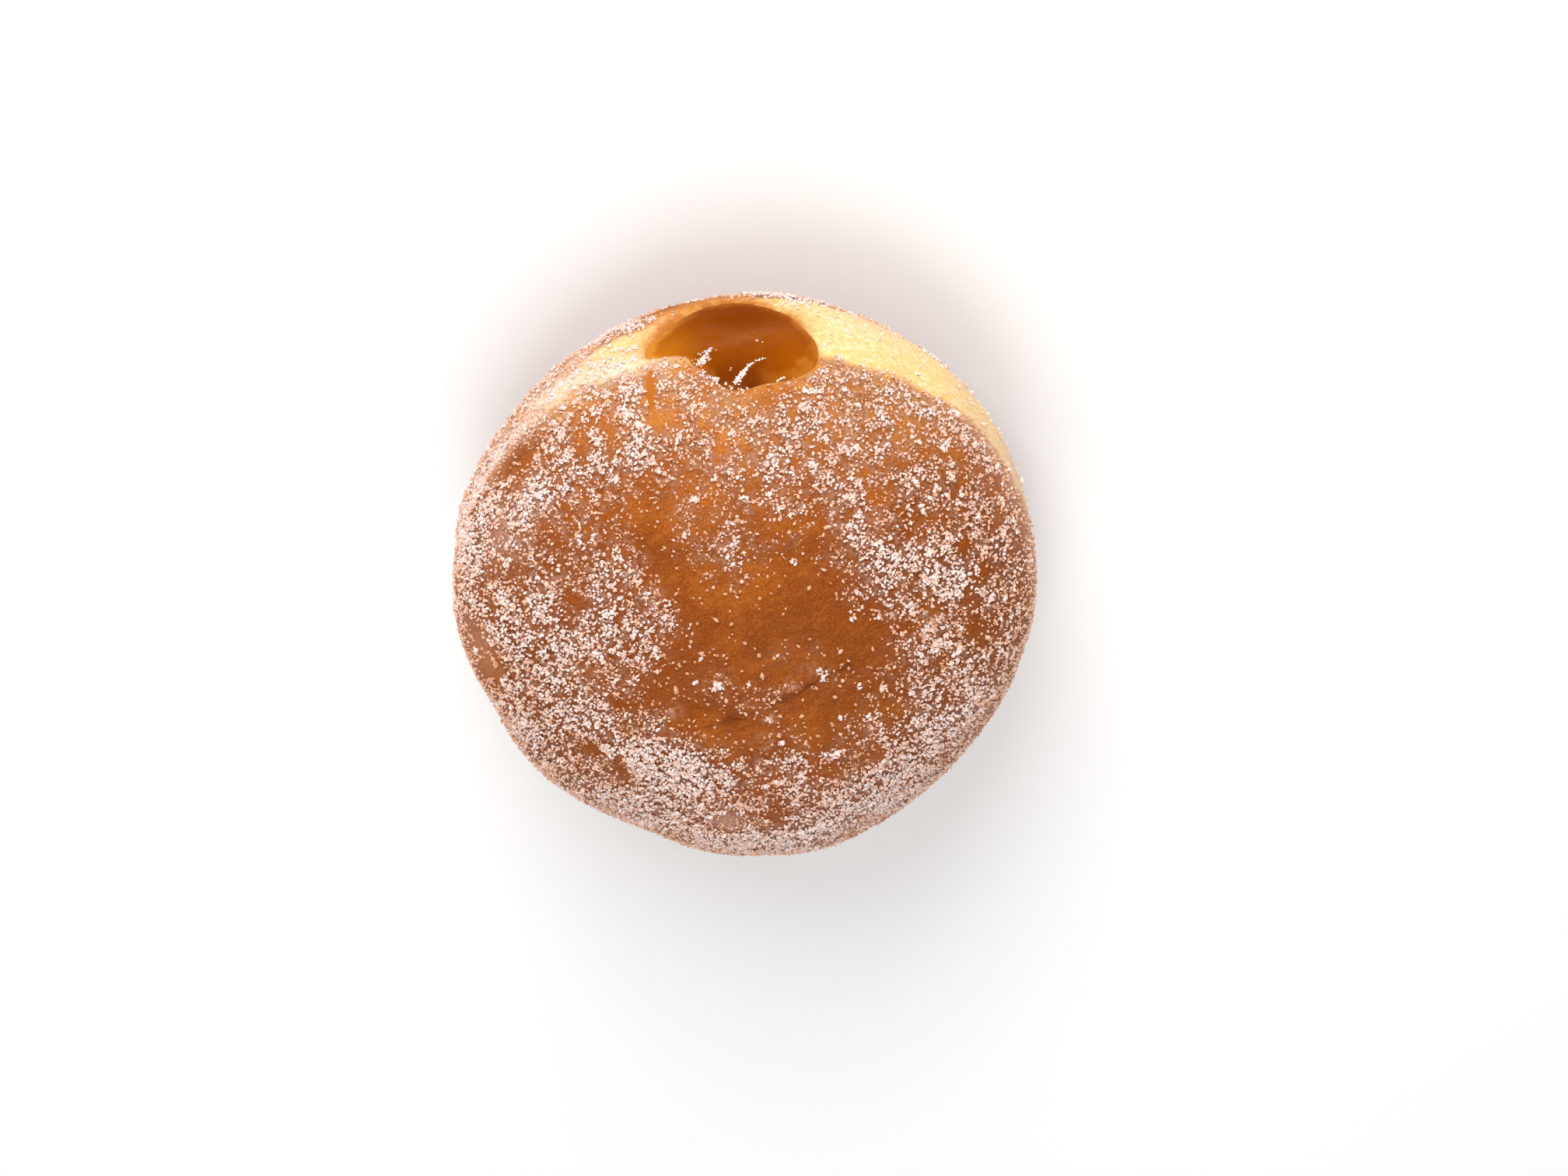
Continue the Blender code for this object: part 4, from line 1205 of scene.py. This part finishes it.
def make_sugar():
    """The sugar grains and the white grains painted as highlights on the filling, as a few joined
    meshes.
    """
    draw = np.random.default_rng(SUGAR_SEED)
    directions = grain_places(draw)
    normals = surface_normals(directions, dough_surface, DOUGH_STEP)
    density = sugar_density(directions)
    lone = lone_share(directions)
    stands = GRAIN_LENGTH[0] * draw.uniform(*GRAIN_STANDS, len(directions))
    stands = stands + smooth_step(*PILED, density) * draw.uniform(0.0, PILE_HEIGHT, len(directions))
    centres = sugared_surface(directions) + stands[:, None] * normals
    white = 0.50 * smooth_step(*WHITENED, density) + 0.50 * draw.uniform(0.0, 1.0, len(directions))
    pale = band_share(directions) * (1.0 - film_share(directions, HAZE_SHADE_AND_SHEEN))
    white = np.maximum(white, 0.9 * pale)
    heap_white, heap_centres = heaps(directions, normals, draw)
    large_and_glints, large_and_glint_scale = large_bits_and_glints(draw)
    scale = 1.0 + LONE_GROWTH * lone * draw.uniform(0.3, 1.0, len(directions))
    centres = np.concatenate([centres, heap_centres, large_and_glints])
    white = np.concatenate([white, heap_white, np.ones(len(large_and_glints))])
    scale = np.concatenate([scale, np.ones(len(heap_centres)), large_and_glint_scale])
    above = centres[:, 2] > FLOOR_CLEARANCE
    centres, white, scale = centres[above], white[above], scale[above]
    parts = np.array_split(np.argsort(white, kind="stable"), len(SUGAR_KINDS))
    for (name, colour), part in zip(SUGAR_KINDS, parts):
        mesh = grain_mesh(name, centres[part], white[part], scale[part], draw)
        yield new_object(name, mesh), colour


# What the crust's material reads at each vertex, as paint_crust stores it
CRUST_SHARES = (
    "band", "toast_and_shade", "dust_and_shade", "golden", "drip", "veil", "haze_shade_and_sheen", "broken", "crease_shadow", "stain",
    "inside",
)
# Streaks of the crust: their direction seen from above and the size of their pattern
STREAK_TURN = 24.0
STREAK_SIZE = (0.0026, 0.0008, 0.0012)
# Colours of crust from just set to darkest
BROWNING = (
    (0.0, (0.78, 0.38, 0.11)),
    (0.25, (0.66, 0.24, 0.042)),
    (0.6, (0.48, 0.135, 0.010)),
    (0.85, (0.36, 0.086, 0.0035)),
    (1.0, (0.27, 0.058, 0.0025)),
)


class Material:
    """A material and the nodes that are added to it, each joined to what it reads."""

    def __init__(self, name):
        self.made = bpy.data.materials.new(name)
        self.made.use_nodes = True
        self.shader = self.made.node_tree.nodes["Principled BSDF"]

    def fill(self, node, values):
        """Gives a node's inputs numbers, colours or what comes out of other nodes."""
        for name, value in values.items():
            socket = node.inputs[name]
            if isinstance(value, bpy.types.NodeSocket):
                self.made.node_tree.links.new(value, socket)
            elif socket.type == "RGBA":
                socket.default_value = (*value, 1.0)
            else:
                socket.default_value = value
        return node

    def add(self, kind, values):
        return self.fill(self.made.node_tree.nodes.new(kind), values)

    def place(self):
        return self.add("ShaderNodeTexCoord", {}).outputs["Object"]

    def attribute(self, name):
        node = self.add("ShaderNodeAttribute", {})
        node.attribute_name = name
        return node.outputs["Fac"]

    def pattern(self, place, size, detail=3.0, roughness=0.6):
        """Noise whose features are about a size in metres."""
        values = {"Vector": place, "Scale": 1.0 / size, "Detail": detail, "Roughness": roughness}
        return self.add("ShaderNodeTexNoise", values).outputs["Fac"]

    def streaks(self, place):
        """Noise drawn out along the streaks of the crust."""
        mapping = self.add("ShaderNodeMapping", {})
        mapping.vector_type = "TEXTURE"
        turn = (0.0, 0.0, math.radians(STREAK_TURN))
        self.fill(mapping, {"Vector": place, "Rotation": turn, "Scale": STREAK_SIZE})
        return self.pattern(mapping.outputs["Vector"], 1.0, 4.0)

    def combine(self, operation, first, second):
        """Two values multiplied, added or taken from each other."""
        node = self.add("ShaderNodeMath", {})
        node.operation = operation
        return self.fill(node, {0: first, 1: second}).outputs[0]

    def spread_out(self, value, low, high, to_low=0.0, to_high=1.0):
        """Maps a value's range to another range, smoothly and clamped."""
        node = self.add("ShaderNodeMapRange", {})
        node.interpolation_type = "SMOOTHSTEP"
        self.fill(node, {"Value": value, "From Min": low, "From Max": high})
        return self.fill(node, {"To Min": to_low, "To Max": to_high}).outputs["Result"]

    def mix(self, share, first, second):
        """Mixes two colours by a share."""
        node = self.add("ShaderNodeMix", {})
        node.data_type = "RGBA"
        return self.fill(node, {0: share, 6: first, 7: second}).outputs[2]

    def layers(self, colour, rows):
        """Lays tones over a colour, each as far as a pattern rises between two values."""
        for pattern, low, high, most, tone in rows:
            colour = self.mix(self.spread_out(pattern, low, high, 0.0, most), colour, tone)
        return colour

    def ramp(self, value, stops):
        node = self.add("ShaderNodeValToRGB", {"Fac": value})
        elements = node.color_ramp.elements
        while len(elements) < len(stops):
            elements.new(0.5)
        for element, (place, colour) in zip(elements, stops):
            element.position = place
            element.color = (*colour, 1.0)
        return node.outputs["Color"]

    def bump(self, height, strength, distance):
        values = {"Height": height, "Strength": strength, "Distance": distance}
        return self.add("ShaderNodeBump", values).outputs["Normal"]


def browned_colour(crust, toast_and_shade, mottle, fine, streaks, speckle):
    """Crust as dark as it is browned or given painted shade, with darker and lighter streaks and
    specks.
    """
    mottling = crust.combine("MULTIPLY", crust.combine("SUBTRACT", mottle, 0.5), 0.5)
    return crust.layers(crust.ramp(crust.combine("ADD", toast_and_shade, mottling), BROWNING), (
        (fine, 0.35, 0.75, 0.30, (0.22, 0.042, 0.003)),
        (streaks, 0.50, 0.72, 0.28, (0.24, 0.045, 0.002)),
        (streaks, 0.50, 0.30, 0.25, (0.52, 0.165, 0.030)),
        (speckle, 0.48, 0.66, 0.50, (0.20, 0.036, 0.002)),
        (speckle, 0.46, 0.30, 0.35, (0.56, 0.20, 0.050)),
    ))


def pale_colour(crust, mottle, crumbs, speckle):
    """The pale waist."""
    return crust.layers((0.87, 0.55, 0.19), (
        (crumbs, 0.35, 0.65, 1.0, (0.93, 0.69, 0.32)),
        (mottle, 0.48, 0.68, 0.8, (0.94, 0.77, 0.48)),
        (speckle, 0.50, 0.70, 0.5, (0.84, 0.46, 0.16)),
    ))


def soaked_colour(crust, golden, mottle, speckle):
    """Crust soaked with filling."""
    return crust.layers(crust.mix(golden, (0.66, 0.26, 0.050), (0.44, 0.130, 0.018)), (
        (mottle, 0.46, 0.66, 0.55, (0.80, 0.40, 0.10)),
        (speckle, 0.50, 0.68, 0.4, (0.36, 0.09, 0.010)),
    ))


def crust_material():
    """Browned crust with its pale waist, and what lies on it as a film."""
    crust = Material("fried_crust")
    band, toast_and_shade, dust_and_shade, golden, drip, veil, haze_shade_and_sheen, broken, crease_shadow, stain, inside = (
        crust.attribute(name) for name in CRUST_SHARES)
    place = crust.place()
    mottle = crust.pattern(place, 0.0016, 5.0)
    crumbs = crust.pattern(place, 0.0008, 4.0, 0.65)
    fine = crust.pattern(place, 0.00045)
    speckle = crust.pattern(place, 0.00028, 2.0, 0.5)
    browned = browned_colour(crust, toast_and_shade, mottle, fine, crust.streaks(place), speckle)
    colour = crust.mix(band, browned, pale_colour(crust, mottle, crumbs, speckle))
    border = crust.combine("MULTIPLY", band, crust.combine("SUBTRACT", 1.0, band))
    colour = crust.mix(crust.combine("MULTIPLY", border, 2.6), colour, (0.82, 0.40, 0.13))
    # painted shade between the grains: the crust darkened where sugar lies thick
    colour = crust.mix(crust.combine("MULTIPLY", dust_and_shade, 0.52), colour, (0.15, 0.048, 0.015))
    for film, low, high, least, most, tone in (
        (dust_and_shade, 0.40, 0.60, 0.0, 0.34, (0.70, 0.45, 0.35)),
        (veil, 0.38, 0.56, 0.50, 1.0, (0.88, 0.68, 0.52)),
        # rosy sugar haze, also painted shade left of the mouth and painted sheen on the far side
        (haze_shade_and_sheen, 0.30, 0.55, 0.70, 1.0, (0.74, 0.53, 0.45)),
        (broken, 0.42, 0.66, 0.0, 0.75, (0.76, 0.49, 0.35)),
    ):
        grainy = crust.spread_out(crumbs, low, high, least, most)
        colour = crust.mix(crust.combine("MULTIPLY", film, grainy), colour, tone)
    for share, tone in (
        # painted shadow in front of the lifted edges of crust
        (crease_shadow, (0.17, 0.030, 0.0015)),
        (stain, (0.36, 0.098, 0.015)),
        (crust.spread_out(golden, 0.0, 0.75), soaked_colour(crust, golden, mottle, speckle)),
        (drip, (0.47, 0.135, 0.008)),
        (inside, (0.90, 0.70, 0.34)),
    ):
        colour = crust.mix(share, colour, tone)
    pores = crust.pattern(place, 0.0006, 4.0)
    height = crust.combine("ADD", pores, crust.combine("MULTIPLY", mottle, 0.8))
    crust.fill(crust.shader, {
        "Base Color": colour,
        "Roughness": crust.spread_out(mottle, 0.3, 0.7, 0.50, 0.70),
        "Specular IOR Level": 0.13,
        "Subsurface Weight": 0.12,
        "Subsurface Radius": (1.0, 0.45, 0.15),
        "Subsurface Scale": 0.0015,
        "Normal": crust.bump(height, 0.55, 0.0004),
    })
    return crust.made


def filling_material():
    """Stewed apple: a wet amber gel, darker in places with painted shade, with a golden rim."""
    gel = Material("apple_filling")
    place = gel.place()
    clouds = gel.spread_out(gel.pattern(place, 0.0030, 4.0), 0.3, 0.7)
    colour = gel.mix(clouds, (0.235, 0.048, 0.0012), (0.285, 0.064, 0.0022))
    *tones, lip_shade_tone = FILLING_TONES
    for name, *_, tone in tones:
        share = gel.attribute(name)
        if name == "cloud":
            milky = gel.spread_out(gel.pattern(place, 0.0007), 0.35, 0.65, 0.1, 0.7)
            share = gel.combine("MULTIPLY", share, milky)
        colour = gel.mix(share, colour, tone)
    rim = gel.combine("MULTIPLY", gel.attribute("rim"), 0.85)
    colour = gel.mix(rim, colour, (0.62, 0.235, 0.030))
    gel.fill(gel.shader, {
        # the darkest tone, painted shadow in the fold of the lower lip, laid over the rest
        "Base Color": gel.mix(gel.attribute(lip_shade_tone[0]), colour, lip_shade_tone[-1]),
        "Roughness": 0.14,
        "Specular IOR Level": 0.010,
        "Subsurface Weight": 0.10,
        "Subsurface Radius": (1.0, 0.30, 0.05),
        "Subsurface Scale": 0.0020,
        "Normal": gel.bump(gel.pattern(place, 0.0009), 0.5, 0.0003),
    })
    return gel.made


def sugar_material(name, colour):
    """Sugar crystals of a colour, some of them a little duller."""
    sugar = Material(name)
    dull = tuple(0.90 * part for part in colour)
    clean = tuple(min(0.98, 1.07 * part) for part in colour)
    clouded = sugar.spread_out(sugar.pattern(sugar.place(), 0.0007, 2.0, 0.5), 0.35, 0.65)
    sugar.fill(sugar.shader, {
        "Base Color": sugar.mix(clouded, dull, clean),
        "Roughness": 0.35,
        "Specular IOR Level": 0.5,
    })
    return sugar.made


def dress(thing, material):
    """Gives a piece its material and hangs it on the frame's root body."""
    thing.data.materials.append(material)
    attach(thing, "root")


def make_floor():
    """The pale floor that the doughnut lies on."""
    mesh = bpy.data.meshes.new("floor")
    signs = ((-1, -1), (1, -1), (1, 1), (-1, 1))
    corners = [(x * FLOOR_REACH, y * FLOOR_REACH, 0.0) for x, y in signs]
    mesh.from_pydata(corners, [], [(0, 1, 2, 3)])
    floor = new_object("floor", mesh)
    pale = Material("pale_floor")
    values = {"Base Color": (0.93, 0.93, 0.93), "Roughness": 0.9, "Specular IOR Level": 0.1}
    pale.fill(pale.shader, values)
    mesh.materials.append(pale.made)


def soft_light(name, place, size, power):
    """A round lamp that looks at the doughnut's heart."""
    lamp = bpy.data.lights.new(name, "AREA")
    lamp.shape = "DISK"
    lamp.size = size
    lamp.energy = power
    thing = new_object(name, lamp)
    thing.location = place
    aim = Vector(place) - Vector((0.0, 0.0, WAIST_LEVEL))
    thing.rotation_euler = aim.to_track_quat("Z", "Y").to_euler()


def make_lights():
    """Plain soft studio light."""
    world = bpy.data.worlds.new("studio")
    world.use_nodes = True
    background = world.node_tree.nodes["Background"]
    background.inputs["Color"].default_value = (1.0, 0.985, 0.97, 1.0)
    background.inputs["Strength"].default_value = ROOM_LIGHT
    bpy.context.scene.world = world
    for name, place, size, power in LAMPS:
        soft_light(name, place, size, power)


def make_camera():
    """The photograph's camera, above the crown on the mouth's side, with the mouth upward."""
    tilt = math.radians(CAMERA_TILT)
    back = Vector((0.0, -math.sin(tilt), math.cos(tilt)))
    upward = Vector((0.0, -math.cos(tilt), -math.sin(tilt)))
    right = upward.cross(back)
    aside = (PHOTO_WIDTH / 2 - MIDDLE_PIXEL[0]) / PIXELS_PER_METRE
    above = (MIDDLE_PIXEL[1] - PHOTO_HEIGHT / 2) / PIXELS_PER_METRE
    aim = Vector((0.0, 0.0, WAIST_LEVEL)) + aside * right + above * upward
    data = bpy.data.cameras.new("camera")
    data.sensor_width = SENSOR
    data.lens = SENSOR * CAMERA_DISTANCE * PIXELS_PER_METRE / PHOTO_WIDTH
    data.clip_start, data.clip_end = CAMERA_CLIP
    camera = new_object("camera", data)
    turn = Matrix((right, upward, back)).transposed().to_4x4()
    camera.matrix_world = Matrix.Translation(aim + back * CAMERA_DISTANCE) @ turn
    bpy.context.scene.camera = camera


dough = make_dough()
crust = crust_material()
dress(dough, crust)
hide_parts("dough")
for flake in make_flakes():
    dress(flake, crust)
dress(make_crumb(), crust)
filling = make_filling()
dress(filling, filling_material())
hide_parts("apple_filling")
for grains, colour in make_sugar():
    dress(grains, sugar_material(grains.name, colour))
make_floor()
make_lights()
make_camera()
bpy.context.scene.view_settings.view_transform = "Standard"
